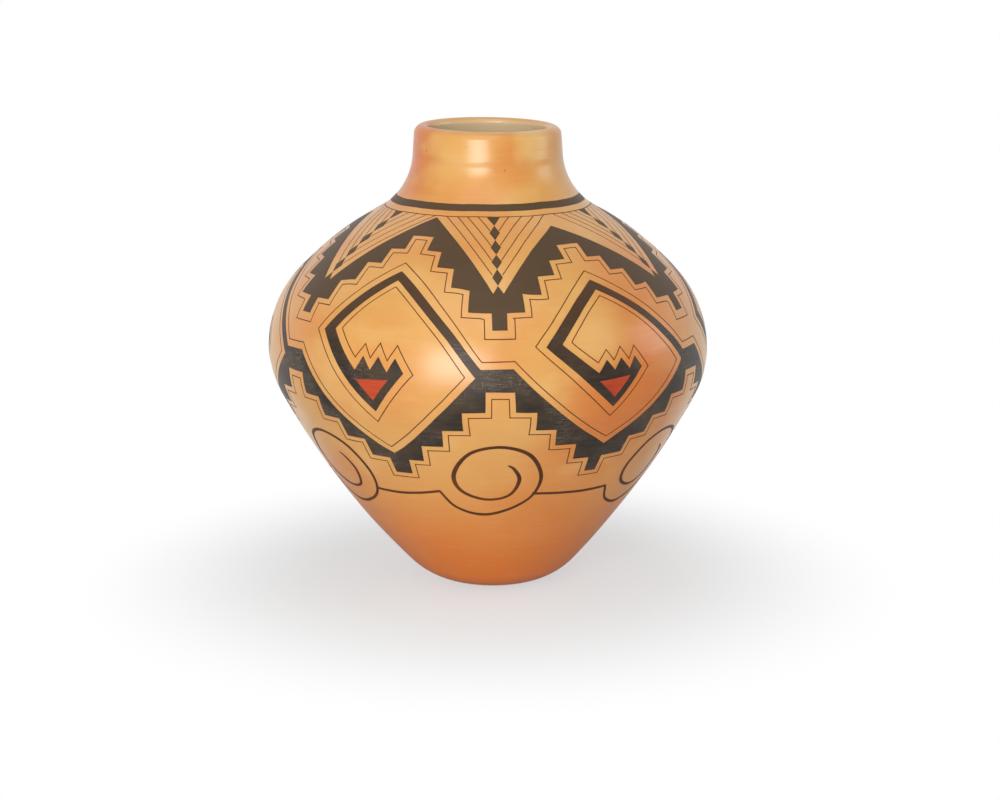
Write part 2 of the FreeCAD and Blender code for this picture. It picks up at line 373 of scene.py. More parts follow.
# %% A graph of nodes
class Graph:
    """The nodes of a material, or of the world, under construction."""

    def __init__(self, name, shelf=bpy.data.materials, output="ShaderNodeOutputMaterial"):
        self.owner = shelf.new(name)
        self.owner.use_nodes = True
        self.tree = self.owner.node_tree
        self.tree.nodes.clear()
        self.output = self.tree.nodes.new(output)

    def node(self, kind, settings, sockets, output=0):
        """Adds a node: settings first, then what each socket holds or is wired to."""
        made = self.tree.nodes.new(kind)
        for name, value in settings.items():
            setattr(made, name, value)
        for name, value in sockets.items():
            if isinstance(value, Wire):
                self.tree.links.new(value.socket, made.inputs[name])
            else:
                made.inputs[name].default_value = value
        return Wire(self, made.outputs[output])

    def close(self, shader):
        """Wires the shader to the output and gives the material or the world."""
        self.tree.links.new(shader.socket, self.output.inputs["Surface"])
        return self.owner


print("materials of the packed jar:", len(bpy.data.materials))

# %% [markdown]
# On top of the graph come the words that a finish is described with: where a point lies, soft
# clouds, a step from one level to another, a colour laid over another, a fine relief.
# All of them are measured on the jar itself and none from the camera, so that a finish stays in
# its place when the jar is turned or exported.

# %% Words for finishes
MM_PER_METRE = 1 / METRES_PER_MM


class Finish(Graph):
    """A graph with the words of this lesson's finishes; lengths are in millimetres."""

    def place(self):
        """Where a point lies in the jar's own frame, in metres."""
        return self.node("ShaderNodeTexCoord", {}, {}, "Object")

    def part(self, vector, axis):
        """One part of a vector: X, Y or Z."""
        return self.node("ShaderNodeSeparateXYZ", {}, {"Vector": vector}, axis)

    def height(self):
        """Height above the foot."""
        return self.part(self.place(), "Z") * MM_PER_METRE

    def away_from(self, place):
        """Distance from a place."""
        metres = [length * METRES_PER_MM for length in place]
        sockets = {0: self.place(), 1: metres}
        return self.node("ShaderNodeVectorMath", {"operation": "DISTANCE"}, sockets, 1) * MM_PER_METRE

    def cloud(self, sizes, detail=2.0, roughness=0.5, offset=0.0, distortion=0.0):
        """Soft noise, with the size of its clouds to the side, to the back and up."""
        clouds_per_metre = [MM_PER_METRE / size for size in sizes]
        sockets = {0: self.place(), 1: clouds_per_metre}
        spread = self.node("ShaderNodeVectorMath", {"operation": "MULTIPLY"}, sockets)
        moved = self.node("ShaderNodeVectorMath", {"operation": "ADD"}, {0: spread, 1: [offset] * 3})
        sockets = {"Vector": moved, "Scale": 1.0, "Detail": detail, "Roughness": roughness}
        sockets["Distortion"] = distortion
        return self.node("ShaderNodeTexNoise", {}, sockets)

    def step(self, value, low, high):
        """0 below low, 1 above high and smooth between; high may be the lower one."""
        settings = {"interpolation_type": "SMOOTHSTEP"}
        sockets = {"Value": value, "From Min": low, "From Max": high}
        return self.node("ShaderNodeMapRange", settings, sockets)

    def blend(self, share, first, second):
        """A colour between two: the first at share 0, the second at share 1."""
        return self.node("ShaderNodeMix", {"data_type": "RGBA"}, {0: share, 6: first, 7: second}, 2)

    def bump(self, value, distance, strength):
        """A normal roughened by a value."""
        sockets = {"Height": value, "Distance": distance * METRES_PER_MM, "Strength": strength}
        return self.node("ShaderNodeBump", {}, sockets)


print("words for finishes:", [word for word in vars(Finish) if not word.startswith("_")])

# %% [markdown]
# Colours are easiest to pick and compare as on a paint chart, with levels from 0 to 255. Blender
# wants linear light in its sockets, where a middle grey is about a fifth, so one helper converts.

# %% Colours as on a paint chart
def shade(red, green, blue):
    """A chart colour, 0 to 255, as Blender's sockets want it."""
    levels = [value / 255 for value in (red, green, blue)]
    linear = [v / 12.92 if v <= 0.04045 else ((v + 0.055) / 1.055) ** 2.4 for v in levels]
    return (*linear, 1.0)


print("a middle grey of the chart:", [round(level, 3) for level in shade(128, 128, 128)])

# %% [markdown]
# The clay is a fine iron-bearing body, slipped and burnished, then fired in an open fire.
# Where the flame was clean it is golden, where the air was short it blushes to orange, and the
# polishing stone leaves faint level streaks. One picture texture could hold that for one jar;
# noise at three sizes and a rise of tone with height give it everywhere, inside too.

# %% Tones and pits of the clay
CLAY_GOLD = shade(231, 170, 92)
CLAY_PALE = shade(240, 195, 122)
CLAY_BLUSH = shade(222, 123, 44)
CLAY_DEEP = shade(226, 120, 26)
# Painted light: the inside is paler partly from its own slip, partly to make up for the little light that
# reaches in.
CLAY_INSIDE_AND_PAINTED_LIGHT = shade(255, 230, 188)
CLAY_PIT = shade(116, 62, 30)
# Patches of tone: place and reach, colour and strength.
TONES_AND_HIGHLIGHT = (
    ((95, -118, 158), 82, CLAY_BLUSH, 1.0),
    ((-50, -20, 322), 30, CLAY_BLUSH, 1.0),
    ((-52, -30, 300), 32, CLAY_BLUSH, 0.8),
    ((14, -58, 308), 30, CLAY_BLUSH, 0.45),
    ((-52, -22, 312), 28, CLAY_DEEP, 0.9),
    # A painted highlight: this pale patch on the right of the neck stands for a gleam.
    ((34, -44, 321), 18, CLAY_PALE, 0.8),
    ((104, -86, 238), 62, CLAY_BLUSH, 0.6),
    ((70, -130, 200), 34, CLAY_PALE, 0.6),
    ((-145, 20, 160), 60, CLAY_BLUSH, 0.6),
    ((-70, 110, 200), 80, CLAY_BLUSH, 0.8),
    ((30, 120, 120), 60, CLAY_BLUSH, 0.6),
    ((20, 60, 290), 50, CLAY_BLUSH, 0.5),
)
# The same round the left end of the mouth, where the slip inside is thin too.
MOUTH_TONES = (
    ((-54, -8, 328), 46, CLAY_BLUSH, 0.9),
    ((-58, -20, 312), 30, CLAY_DEEP, 0.5),
)
# Where grit fell out: place and size.
PITS = (
    ((-16.5, -50.9, 318.5), 1.1),
    ((-43.8, -30.8, 314.3), 0.9),
    ((10.2, -52.5, 302.9), 0.8),
    ((-31.0, -140.0, 96.0), 0.9),
    ((52.0, 118.0, 230.0), 1.0),
)
print("patches of tone:", len(TONES_AND_HIGHLIGHT) + len(MOUTH_TONES), "pits:", len(PITS))

# %% [markdown]
# Patches and pits are both spots laid over a colour, full near their place and fading towards
# their reach. A patch is broad, so soft noise pushes its edge in and out, or it would look
# sprayed on.

# %% Patches and pits over a colour
NOISE_MIDDLE = 0.5
TONE_WANDER = 50
TONE_CORE = 0.2
PIT_CORE = 0.4
PIT_SHARE = 0.75


def toned(finish, colour, tones, mist):
    """Patches of tone or painted highlight laid over the colour, their edges moved by the mist."""
    for place, reach, tone, strength in tones:
        away = finish.away_from(place) + (mist - NOISE_MIDDLE) * TONE_WANDER
        near = finish.step(away, reach, reach * TONE_CORE)
        colour = finish.blend(near * strength, colour, tone)
    return colour


def pitted(finish, colour):
    """The colour with the pits in it."""
    for place, size in PITS:
        near = finish.step(finish.away_from(place), size, size * PIT_CORE)
        colour = finish.blend(near * PIT_SHARE, colour, CLAY_PIT)
    return colour


print("share of a spot that is full:", TONE_CORE, "for a patch,", PIT_CORE, "for a pit")

# %% [markdown]
# The tones are laid over each other from the largest to the smallest: clouds of blush, a pale
# mist, the patches with one painted highlight among them, the deeper tone towards the foot and the
# stone's streaks. The inside is paler, partly its own slip and partly painted light, and the pits come
# last.

# %% Colour of the clay
# Where each noise or height starts to show and where it shows in full.
BLUSH_EDGES = (0.42, 0.68)
PALE_EDGES = (0.5, 0.74)
DEEP_HEIGHTS = (135, 20)
STREAK_PALE_EDGES = (0.5, 0.74)
STREAK_DEEP_EDGES = (0.5, 0.28)
# How much of each tone shows there.
BLUSH_SHARE = 0.45
PALE_SHARE = 0.4
DEEP_SHARE = 0.95
STREAK_PALE_SHARE = 0.1
STREAK_DEEP_SHARE = 0.07
INSIDE_SHARE = 0.9


def clay_colour(finish, mist, streak):
    """The clay's tones with a painted highlight, its paler inside, partly painted light, and its pits."""
    blush = finish.cloud((95, 95, 80), detail=2, offset=3.7)
    colour = finish.blend(finish.step(blush, *BLUSH_EDGES) * BLUSH_SHARE, CLAY_GOLD, CLAY_BLUSH)
    colour = finish.blend(finish.step(mist, *PALE_EDGES) * PALE_SHARE, colour, CLAY_PALE)
    # The patches include one painted highlight on the neck.
    colour = toned(finish, colour, TONES_AND_HIGHLIGHT, mist)
    deep = finish.step(finish.height(), *DEEP_HEIGHTS) * DEEP_SHARE
    colour = finish.blend(deep, colour, CLAY_DEEP)
    pale_streak = finish.step(streak, *STREAK_PALE_EDGES) * STREAK_PALE_SHARE
    colour = finish.blend(pale_streak, colour, CLAY_PALE)
    deep_streak = finish.step(streak, *STREAK_DEEP_EDGES) * STREAK_DEEP_SHARE
    colour = finish.blend(deep_streak, colour, CLAY_DEEP)
    # The inside is laid paler: its own slip, and painted light for the dim inside of the jar.
    inside = finish.node("ShaderNodeAttribute", {"attribute_name": "inside"}, {}, "Fac")
    colour = finish.blend(inside * INSIDE_SHARE, colour, CLAY_INSIDE_AND_PAINTED_LIGHT)
    return pitted(finish, toned(finish, colour, MOUTH_TONES, mist))


print("the clay deepens below", DEEP_HEIGHTS[0], "mm")

# %% [markdown]
# Polishing never makes clay quite even. The relief takes the same mist and streaks as the
# colour, so that gleam and colour break in the same places, and adds a finer noise and a low
# ledge round the neck, a little under the lip. All of it is so shallow that a Bump node does as
# well as a mesh would.

# %% Relief of the clay
STREAK_RELIEF = 0.008
FINE_RELIEF = 0.01
MIST_RELIEF = 0.5
LEDGE_RELIEF = 1.2
LEDGE_UNEVEN = 2
LEDGE_HEIGHTS = (303.8, 309.4)
LEDGE_WANDER = 4


def clay_relief(finish, mist, streak):
    """How high the clay stands, from its noises and the ledge round the neck."""
    fine = finish.cloud((9, 9, 0.6), detail=2, offset=8.8)
    ledge = finish.step(finish.height() + (mist - NOISE_MIDDLE) * LEDGE_WANDER, *LEDGE_HEIGHTS)
    surface = streak * STREAK_RELIEF + fine * FINE_RELIEF + mist * MIST_RELIEF
    return surface + ledge * (LEDGE_RELIEF + mist * LEDGE_UNEVEN)


print("the ledge lies between", LEDGE_HEIGHTS, "mm")

# %% [markdown]
# Colour and relief meet in one Principled shader. A burnished slip gleams, though not like
# glass, so the roughness is low and changes a little with the streaks, and the index of
# refraction is set a little high.

# %% Burnished clay
CLAY_BUMP = (0.5, 0.6)
CLAY_ROUGHNESS = 0.26
STREAK_ROUGHNESS = 0.06
CLAY_IOR = 1.6


def burnished_clay():
    """Golden burnished clay with blushes, level streaks and a few pits."""
    finish = Finish("burnished_clay")
    mist = finish.cloud((44, 44, 28), detail=2, offset=11.3)
    streak = finish.cloud((30, 30, 1.8), detail=3, roughness=0.6, offset=5.1)
    sockets = {
        "Base Color": clay_colour(finish, mist, streak),
        "Roughness": CLAY_ROUGHNESS + streak * STREAK_ROUGHNESS,
        "IOR": CLAY_IOR,
        "Normal": finish.bump(clay_relief(finish, mist, streak), *CLAY_BUMP),
    }
    return finish.close(finish.node("ShaderNodeBsdfPrincipled", {}, sockets))


clay_material = burnished_clay()
print("clay nodes:", len(clay_material.node_tree.nodes))

# %% [markdown]
# Brush and stone have scratched the dark paint. A painted picture could hold each scratch; level
# and upright noise, drawn out into fine threads and shown only where a third noise says that the
# paint is worn, gives their kind.

# %% Scratches in paint
WORN_EDGES = (0.44, 0.62)
LEVEL_SCRATCH_EDGES = (0.52, 0.75)
UPRIGHT_SCRATCH_EDGES = (0.56, 0.78)


def scratches(finish, high, seed):
    """Fine threads, level and upright, where low-lying paint is worn."""
    thready = {"detail": 2, "roughness": 0.7, "distortion": 0.5}
    level = finish.cloud((7, 7, 0.4), offset=seed + 13, **thready)
    upright = finish.cloud((0.5, 0.5, 6), offset=seed + 15, **thready)
    worn = finish.cloud((30, 30, 20), detail=2, offset=seed + 17)
    threads = finish.step(level, *LEVEL_SCRATCH_EDGES) + finish.step(upright, *UPRIGHT_SCRATCH_EDGES)
    return threads * (finish.step(worn, *WORN_EDGES) * (1 - high))


print("scratches show where the noise of wear is above", WORN_EDGES[0])

# %% [markdown]
# The paint itself is boiled plant juice ground with iron stone. It is matt where it lies thick,
# brown where it is thin, and cold where it was burnished. Two tones in clouds and drawn-out
# strokes give the brush, and the relief comes from the same strokes.

# %% Brushed paint
BLACK_BROWN = shade(92, 71, 50)
BLACK_WARM = shade(76, 58, 40)
BLACK_THIN = shade(86, 56, 28)
BLACK_COLD = shade(44, 34, 26)
BLACK_SCRATCH = shade(146, 134, 120)
THIN_HEIGHTS = (185, 225)
THIN_SHARE = 0.75
PATCH_EDGES = (0.38, 0.64)
PATCH_SHARE = 0.6
STROKE_EDGES = (0.35, 0.68)
STROKE_SHARE = 0.4
PAINT_RELIEF_SHARE = 0.5
PAINT_BUMP = (0.1, 0.3)
PAINT_ROUGHNESS = 0.4
GRAIN_ROUGHNESS = 0.14


def brushed_paint(name, tones, scratched, gloss, seed):
    """Brushed paint: two tones in clouds and strokes and a thin one high up, with scratches."""
    dark, light, thin = tones
    finish = Finish(name)
    patch = finish.cloud((34, 34, 26), detail=3, offset=seed)
    stroke = finish.cloud((18, 18, 2.2), detail=3, roughness=0.6, offset=seed + 4)
    grain = finish.cloud((1.4, 1.4, 1.0), detail=2, offset=seed + 9)
    tone = finish.step(patch, *PATCH_EDGES) * PATCH_SHARE
    tone = tone + finish.step(stroke, *STROKE_EDGES) * STROKE_SHARE
    high = finish.step(finish.height(), *THIN_HEIGHTS)
    colour = finish.blend(tone, dark, light)
    colour = finish.blend(high * THIN_SHARE, colour, thin)
    if scratched:
        colour = finish.blend(scratches(finish, high, seed) * scratched, colour, BLACK_SCRATCH)
    surface = stroke * PAINT_RELIEF_SHARE + grain * PAINT_RELIEF_SHARE
    sockets = {
        "Base Color": colour,
        "Roughness": PAINT_ROUGHNESS + grain * GRAIN_ROUGHNESS,
        "Specular IOR Level": gloss,
        "Normal": finish.bump(surface, *PAINT_BUMP),
    }
    return finish.close(finish.node("ShaderNodeBsdfPrincipled", {}, sockets))


print("the dark paint thins between", THIN_HEIGHTS, "mm")

# %% [markdown]
# The jar has five mixtures of it: brown-black above, cold black below where the stone went over
# it again, thin brown for the fine lines, a fuller brown for the scrolls, and a red slip.
# One material with a mask for each would be harder to change than five short calls.

# %% Five paints
LINE_BROWN = shade(112, 58, 24)
LINE_DARK = shade(78, 44, 24)
RED_SLIP = shade(198, 76, 38)
RED_DEEP = shade(170, 58, 30)
# The dark, the light and the thin tone of each.
UPPER_TONES = (BLACK_BROWN, BLACK_WARM, BLACK_BROWN)
LOWER_TONES = (BLACK_COLD, BLACK_WARM, BLACK_THIN)
LINE_TONES = (LINE_BROWN, LINE_DARK, LINE_BROWN)
SCROLL_TONES = (LINE_DARK, LINE_BROWN, LINE_BROWN)
RED_TONES = (RED_SLIP, RED_DEEP, RED_SLIP)
upper_paint = brushed_paint("black_paint_brown", UPPER_TONES, scratched=0.1, gloss=0.2, seed=21.0)
lower_paint = brushed_paint("black_paint_cold", LOWER_TONES, scratched=0.7, gloss=0.4, seed=37.0)
line_paint = brushed_paint("fine_line_paint", LINE_TONES, scratched=0.0, gloss=0.2, seed=51.0)
scroll_paint = brushed_paint("scroll_paint", SCROLL_TONES, scratched=0.12, gloss=0.2, seed=63.0)
red_paint = brushed_paint("red_slip_paint", RED_TONES, scratched=0.0, gloss=0.3, seed=71.0)
print("paints:", [m.name for m in bpy.data.materials if "paint" in m.name])

# %% [markdown]
# Each piece is a mesh of its own that knows its exact normals, so that skins meet without a
# visible seam, and brings a map named OFBake for its colours.
# Letting Blender unwrap and smooth each piece would work too, but less evenly.

# %% From points to a piece
REPEATS = 6
REPEAT_TURN = 2 * math.pi / REPEATS


def make_piece(name, points, faces, normals, mapped, material):
    """A mesh in millimetres made into a piece that rides on the jar."""
    mesh = bpy.data.meshes.new(name)
    mesh.from_pydata((points * METRES_PER_MM).tolist(), [], faces)
    mesh.update()
    mesh.polygons.foreach_set("use_smooth", [True] * len(mesh.polygons))
    layer = mesh.uv_layers.new(name="OFBake")
    layer.data.foreach_set("uv", np.asarray(mapped, dtype=np.float32).ravel())
    mesh.normals_split_custom_set(np.asarray(normals, dtype=np.float32).tolist())
    mesh.materials.append(material)
    piece = bpy.data.objects.new(name, mesh)
    bpy.context.scene.collection.objects.link(piece)
    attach(piece, "root")
    return piece


print("repeats of the pattern:", REPEATS)

# %% [markdown]
# A coil meets the one below along a slanting lap, cut through the wall from the outer face to
# the inner one. The laps lie where the part has them, at shares of the rounds, so each skin
# covers its own coil and no other. One skin for the whole wall would be simpler, but it would
# hide which coil is which.

# %% Laps
LAPS = (
    ("flank_coil_1", "flank", 0.0),
    ("flank_coil_2", "flank", 0.25),
    ("flank_coil_3", "flank", 0.5),
    ("flank_coil_4", "flank", 0.75),
    ("belly_coil_1", "belly_low", 0.0),
    ("belly_coil_2", "belly_high", 0.0),
    ("belly_coil_3", "belly_high", 0.5),
    ("shoulder_coil_1", "shoulder", 0.0),
    ("shoulder_coil_2", "shoulder", 0.5),
    ("throat_coil", "throat", 0.0),
    ("neck_coil", "throat", 0.55),
    ("rim_coil", "neck", 0.3),
)


def lap_ends(stretch, share):
    """Where a lap starts on the outer face and ends on the inner face, by distance."""
    start = outer_face.share(stretch, share)
    across, up, normal_across, normal_up = (float(part) for part in outer_face.at(start))
    slant = math.atan2(normal_up, normal_across) + math.radians(LAP_ANGLE)
    away_across = inner_face.rows[:, 0] - across
    away_up = inner_face.rows[:, 1] - up
    beside_cut = np.abs(away_across * math.sin(slant) - away_up * math.cos(slant))
    near = np.hypot(away_across, away_up) < WALL * 2
    return start, float(inner_face.along[np.argmin(np.where(near, beside_cut, np.inf))])


lip_top = (outer_face.starts["crest"], inner_face.starts["crest"])
lap_places = [(0.0, 0.0), *[lap_ends(stretch, share) for _, stretch, share in LAPS], lip_top]
print("laps, up the outer face in mm:", [round(outer, 1) for outer, _ in lap_places])

# %% [markdown]
# The skins. A coil's skin is its half section turned about the axis: up the outer face, across
# the lap, down the inner face and back. Blender's Screw modifier would turn it as well, but
# written out the rows can carry their own normals and the mark that tells inside from outside.

# %% Half sections
ROW_STEP = 3.0
FINE_ROW_STEP = 0.9
FINE_COILS = ("throat_coil", "neck_coil", "rim_coil")
LIP_FADE_START = 0.3
LIP_FADE = 3.4


def rows_between(face, start, end, step):
    """Evenly spaced rows of a face."""
    count = max(1, math.ceil((end - start) / step)) + 1
    return np.stack(face.at(np.linspace(start, end, count)), 1)


def coil_section(outer_span, inner_span, step):
    """The half section as rows, and for each row 0 outside and 1 inside."""
    outside = rows_between(outer_face, *outer_span, step)
    inside = rows_between(inner_face, *inner_span, step)[::-1]
    if outer_span[1] == outer_face.starts["crest"]:
        inside = inside[1:]
    rows = np.concatenate([outside, inside])
    within = np.concatenate([np.zeros(len(outside)), np.ones(len(inside))])
    return rows, within


def inside_mark(rows, within):
    """0 on the outer face and over the lip, 1 on the inner wall."""
    return within * np.clip((CREST - LIP_FADE_START - rows[:, 1]) / LIP_FADE, 0, 1)


base_rows, _ = coil_section(*zip(*lap_places[:2]), ROW_STEP)
print("rows in the base pat's section:", len(base_rows))

# %% [markdown]
# Turning the section gives rings of points with faces between them. The map for the colours
# is written out as well: six bands, one for each sixth of the round, with the
# way up the section across each band and a small margin between them.

# %% Turning a section
COLUMNS = 480
PER_REPEAT = COLUMNS // REPEATS
MAP_MARGIN = 0.02
MAP_SPAN = 0.96


def ring_faces(rows, on_axis):
    """Corners of each face as (row, column), and its four places on the colour map."""
    steps = np.hypot(*np.diff(rows[:, :2], axis=0, append=rows[:1, :2]).T)
    up_share = np.concatenate([[0.0], np.cumsum(steps)]) / steps.sum()
    faces, mapped = [], []
    for low in range(len(rows) - on_axis):
        high = (low + 1) % len(rows)
        for column in range(COLUMNS):
            following = (column + 1) % COLUMNS
            faces.append(((low, column), (low, following), (high, following), (high, column)))
            band, place = divmod(column, PER_REPEAT)
            left, right = (MAP_MARGIN + MAP_SPAN * side / PER_REPEAT for side in (place, place + 1))
            base, top = (MAP_MARGIN + MAP_SPAN * up_share[side] for side in (low, low + 1))
            mapped += [(left, (band + base) / REPEATS), (right, (band + base) / REPEATS)]
            mapped += [(right, (band + top) / REPEATS), (left, (band + top) / REPEATS)]
    return faces, mapped


def skin_mesh(rows, within, on_axis):
    """Points, faces, corner normals, map and inside marks of one turned coil."""
    turn = np.linspace(0, 2 * math.pi, COLUMNS, endpoint=False)
    points = spin(rows[:, 0:1], rows[:, 1:2], turn[None, :])
    normals = facing(*(rows[:, part : part + 1] for part in range(4)), turn[None, :])
    cells, mapped = ring_faces(rows, on_axis)
    faces, corner_normals = [], []
    for cell in cells:
        (low, column), (_, following), (high, _), _ = cell
        faces.append([row * COLUMNS + place for row, place in cell])
        if within[low] != within[high] and rows[low, 1] < CREST - FINE_ROW_STEP:
            lap_normal = flat_normal(points[low, column], points[low, following], points[high, column])
            corner_normals += [lap_normal] * 4
        else:
            corner_normals += [normals[row, place] for row, place in cell]
    marks = np.repeat(inside_mark(rows, within), COLUMNS)
    return points.reshape(-1, 3), faces, corner_normals, mapped, marks


print("points in a ring:", COLUMNS)

# %% [markdown]
# The base pat is the one skin that reaches the axis, where a whole ring falls on one point. Left
# so, its faces there would have two corners in one place, and the mesh wouldn't be closed.

# %% Closing the base on the axis
def close_pole(points, faces, corner_normals, mapped):
    """Merges the row of points that lies on the axis at each end of a section."""
    kept = np.arange(len(points))
    kept[:COLUMNS] = 0
    kept[-COLUMNS:] = len(points) - 1
    merged_faces, merged_normals, merged_map = [], [], []
    for index, face in enumerate(faces):
        ring = [int(kept[corner]) for corner in face]
        order = [i for i in range(4) if ring[i] != ring[i - 1]]
        merged_faces.append([ring[i] for i in order])
        merged_normals += [corner_normals[4 * index + i] for i in order]
        merged_map += [mapped[4 * index + i] for i in order]
    return merged_faces, merged_normals, merged_map


def drop_unused(points, faces, marks):
    """Leaves out points that no face uses."""
    used = np.unique(np.concatenate([np.asarray(face) for face in faces]))
    place = np.full(len(points), -1)
    place[used] = np.arange(len(used))
    return points[used], [[int(place[c]) for c in face] for face in faces], marks[used]


print("points in one place at each pole:", COLUMNS)

# %% [markdown]
# Now each coil gets its skin, in place of the packed solid. The rows lie closer in the throat
# and the lip, where the rounds are small, and the inside mark rides on the points for the clay.

# %% The thirteen skins
def make_skin(name, below, above):
    """The skin of one coil between two laps."""
    on_axis = name == "base_pat"
    step = FINE_ROW_STEP if name in FINE_COILS else ROW_STEP
    rows, within = coil_section((below[0], above[0]), (below[1], above[1]), step)
    points, faces, normals, mapped, marks = skin_mesh(rows, within, on_axis)
    if on_axis:
        faces, normals, mapped = close_pole(points, faces, normals, mapped)
        points, faces, marks = drop_unused(points, faces, marks)
    piece = make_piece(f"skin_{name}", points, faces, normals, mapped, clay_material)
    attribute = piece.data.attributes.new("inside", "FLOAT", "POINT")
    attribute.data.foreach_set("value", marks.astype(np.float32))
    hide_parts(name)
    print(piece.name, len(faces), "faces")


coil_names = ["base_pat", *[name for name, _, _ in LAPS]]
for name, below, above in zip(coil_names, lap_places, lap_places[1:]):
    make_skin(name, below, above)

# %% [markdown]
# The painted band. It has six repeats, each as wide as a sixth of the jar: a stepped dark mass
# with a V of fine lines above, a lozenge frame with a toothed hook and a red triangle in it, a
# dark band with stepped edges below, and a scroll on the ground line.
# A potter rules nothing: the circle is halved by eye, the halves are shared out, and each motif
# is painted as it looks from its own front. So each motif is drawn on a chart that is the jar's
# front view from there: distance across, in millimetres, and height.

# %% Charts
V_TURN = math.radians(3.0)
LOZENGE_TURN = math.radians(33.0)
STROKE_STEP = 2.6


class Chart:
    """The front view of the jar from one angle, with drawing on it in millimetres."""

    def __init__(self, turn):
        self.turn = turn

    def wall(self, across, height):
        """Angle and height on the jar of a place on the chart."""
        radius = outer_face.at_height(height)[0]
        return self.turn + np.arcsin(np.clip(across / radius, -1, 1)), height

    def edge(self, first, last, bow=0.0):
        """Close points from one place to another, without the last; bow is to the left."""
        along = (last[0] - first[0], last[1] - first[1])
        length = math.hypot(*along)
        count = max(1, math.ceil(length / STROKE_STEP))
        share = np.arange(count) / count
        rise = 4 * bow * share * (1 - share)
        across = first[0] + along[0] * share - along[1] / length * rise
        height = first[1] + along[1] * share + along[0] / length * rise
        turn, height = self.wall(across, height)
        return np.stack([turn, height], 1)

    def path(self, *places):
        """Close points along places; a third number in a place bows the edge that leaves it."""
        legs = []
        for here, there in zip(places, places[1:]):
            bow = here[2] if len(here) > 2 else 0.0
            legs.append(self.edge(here, there, bow))
        legs.append(np.array([self.wall(*places[-1][:2])]))
        return np.concatenate(legs)


# Repeats are counted to the right from the V in front. There are charts for a few more than six,
# because a line that closes at the back is drawn a little past it.
VS_ROUND = range(-2, 4)
LOZENGES_ROUND = range(-3, 3)
charts = {}
for repeat in range(LOZENGES_ROUND.start - 1, VS_ROUND.stop + 1):
    charts["v", repeat] = Chart(V_TURN + repeat * REPEAT_TURN)
    charts["lozenge", repeat] = Chart(LOZENGE_TURN + repeat * REPEAT_TURN)
print("charts:", len(charts))

# %% [markdown]
# No line that a hand paints is quite straight. Noise would make it jitter, so three slow waves
# are summed, with another phase for each use.

# %% A hand that wanders
# Waves of a wandering hand: how many go round, the height of one turn of phase, and their size.
WANDERS = ((9, 23.0, 0.12), (17, 11.0, 0.07), (41, 4.3, 0.035))


def wander(turn, height, phase):
    """A few slow waves that make a line look drawn by hand."""
    wave = [size * np.sin(waves * (turn + phase) + height / pitch) for waves, pitch, size in WANDERS]
    return sum(wave)


print("a hand wanders by up to", round(sum(size for _, _, size in WANDERS), 3), "mm")

# %% [markdown]
# No two repeats are alike either: one lozenge reaches a little higher, the hook of another sits
# further to the right. Drawing six lozenges would lose what they share, so each repeat has a
# lift and a slide that fade out towards its edges, where it has to meet its neighbours.

# %% The painter's hand
# By repeat, how much higher and how much further right its lozenge sits.
REPEAT_LIFT = {-3: 0.9, -2: -1.1, -1: 2.5, 0: -2.5, 1: 0.6, 2: -0.8}
REPEAT_SLIDE = {-3: 1.2, -2: -0.6, -1: -3.4, 0: 3.4, 1: -1.0, 2: 0.8}
# Heights, and the share of the lift that a line has there.
STEP_LIFTS = ((215, 222, 229, 252, 260, 272), (0.0, 0.1, 0.87, 1.05, 0.95, 1.05))
LOZENGE_LIFTS = (
    (118, 125, 130, 152, 180, 200, 232, 245),
    (-1.1, -1.15, -1.3, -0.6, 0.0, 0.85, 1.2, 0.95),
)
NO_LIFTS = ((0,), (0.0,))
LIFT_FULL_TURN = math.radians(17)
LIFT_END_TURN = math.radians(27)
# The slide is full at this place on the chart and dies away within this reach: across, up, down.
SLIDE_CENTRE = (-5.0, 185.0)
SLIDE_REACH = (45.0, 62.0, 42.0)
SLIDE_PHASE = 0.4
LIFT_PHASE = 2.9


def home(repeat):
    """The same repeat counted from -3 to 2."""
    return (repeat + 3) % REPEATS - 3


def slid(repeat, across, height):
    """How far a place in a lozenge slides across: most at the hook, nothing far away."""
    slide = np.array([REPEAT_SLIDE[int(number)] for number in home(repeat)])
    reach = np.where(height > SLIDE_CENTRE[1], SLIDE_REACH[1], SLIDE_REACH[2])
    far = ((across - SLIDE_CENTRE[0]) / SLIDE_REACH[0]) ** 2 + ((height - SLIDE_CENTRE[1]) / reach) ** 2
    return slide * np.exp(-far)


def by_hand(line, lifts):
    """Moves close points of a line as the painter's hand would."""
    turn, height = line[:, 0], line[:, 1]
    radius = outer_face.at_height(height)[0]
    repeat = np.round((turn - LOZENGE_TURN) / REPEAT_TURN)
    offset = turn - LOZENGE_TURN - repeat * REPEAT_TURN
    window = np.clip((LIFT_END_TURN - np.abs(offset)) / (LIFT_END_TURN - LIFT_FULL_TURN), 0, 1)
    window = window * window * (3 - 2 * window)
    lift = np.array([REPEAT_LIFT[int(number)] for number in home(repeat)])
    lift = lift * np.interp(height, *lifts) * window + wander(turn, height, LIFT_PHASE)
    slide = wander(turn, height, SLIDE_PHASE)
    if lifts is LOZENGE_LIFTS:
        slide = slide + slid(repeat, radius * np.sin(offset), height)
    return np.stack([turn + slide / radius, height + lift], 1)


print("lifts of the lozenges in mm:", sorted(REPEAT_LIFT.values()))

# %% [markdown]
# A line drawn on a chart is laid on the skin by asking the wall for its point and its direction
# there. Blender's Shrinkwrap modifier would do it for a finished mesh; asking the wall keeps
# paint and clay together however fine the stroke is.

# %% Onto the skin
def on_skin(line, proud):
    """Points of the hand-made jar under a line, raised off the clay, and their normals."""
    across, up, normal_across, normal_up = outer_face.at_height(line[:, 1])
    points = spin(across + normal_across * proud, up + normal_up * proud, line[:, 0])
    return points, facing(across, up, normal_across, normal_up, line[:, 0])


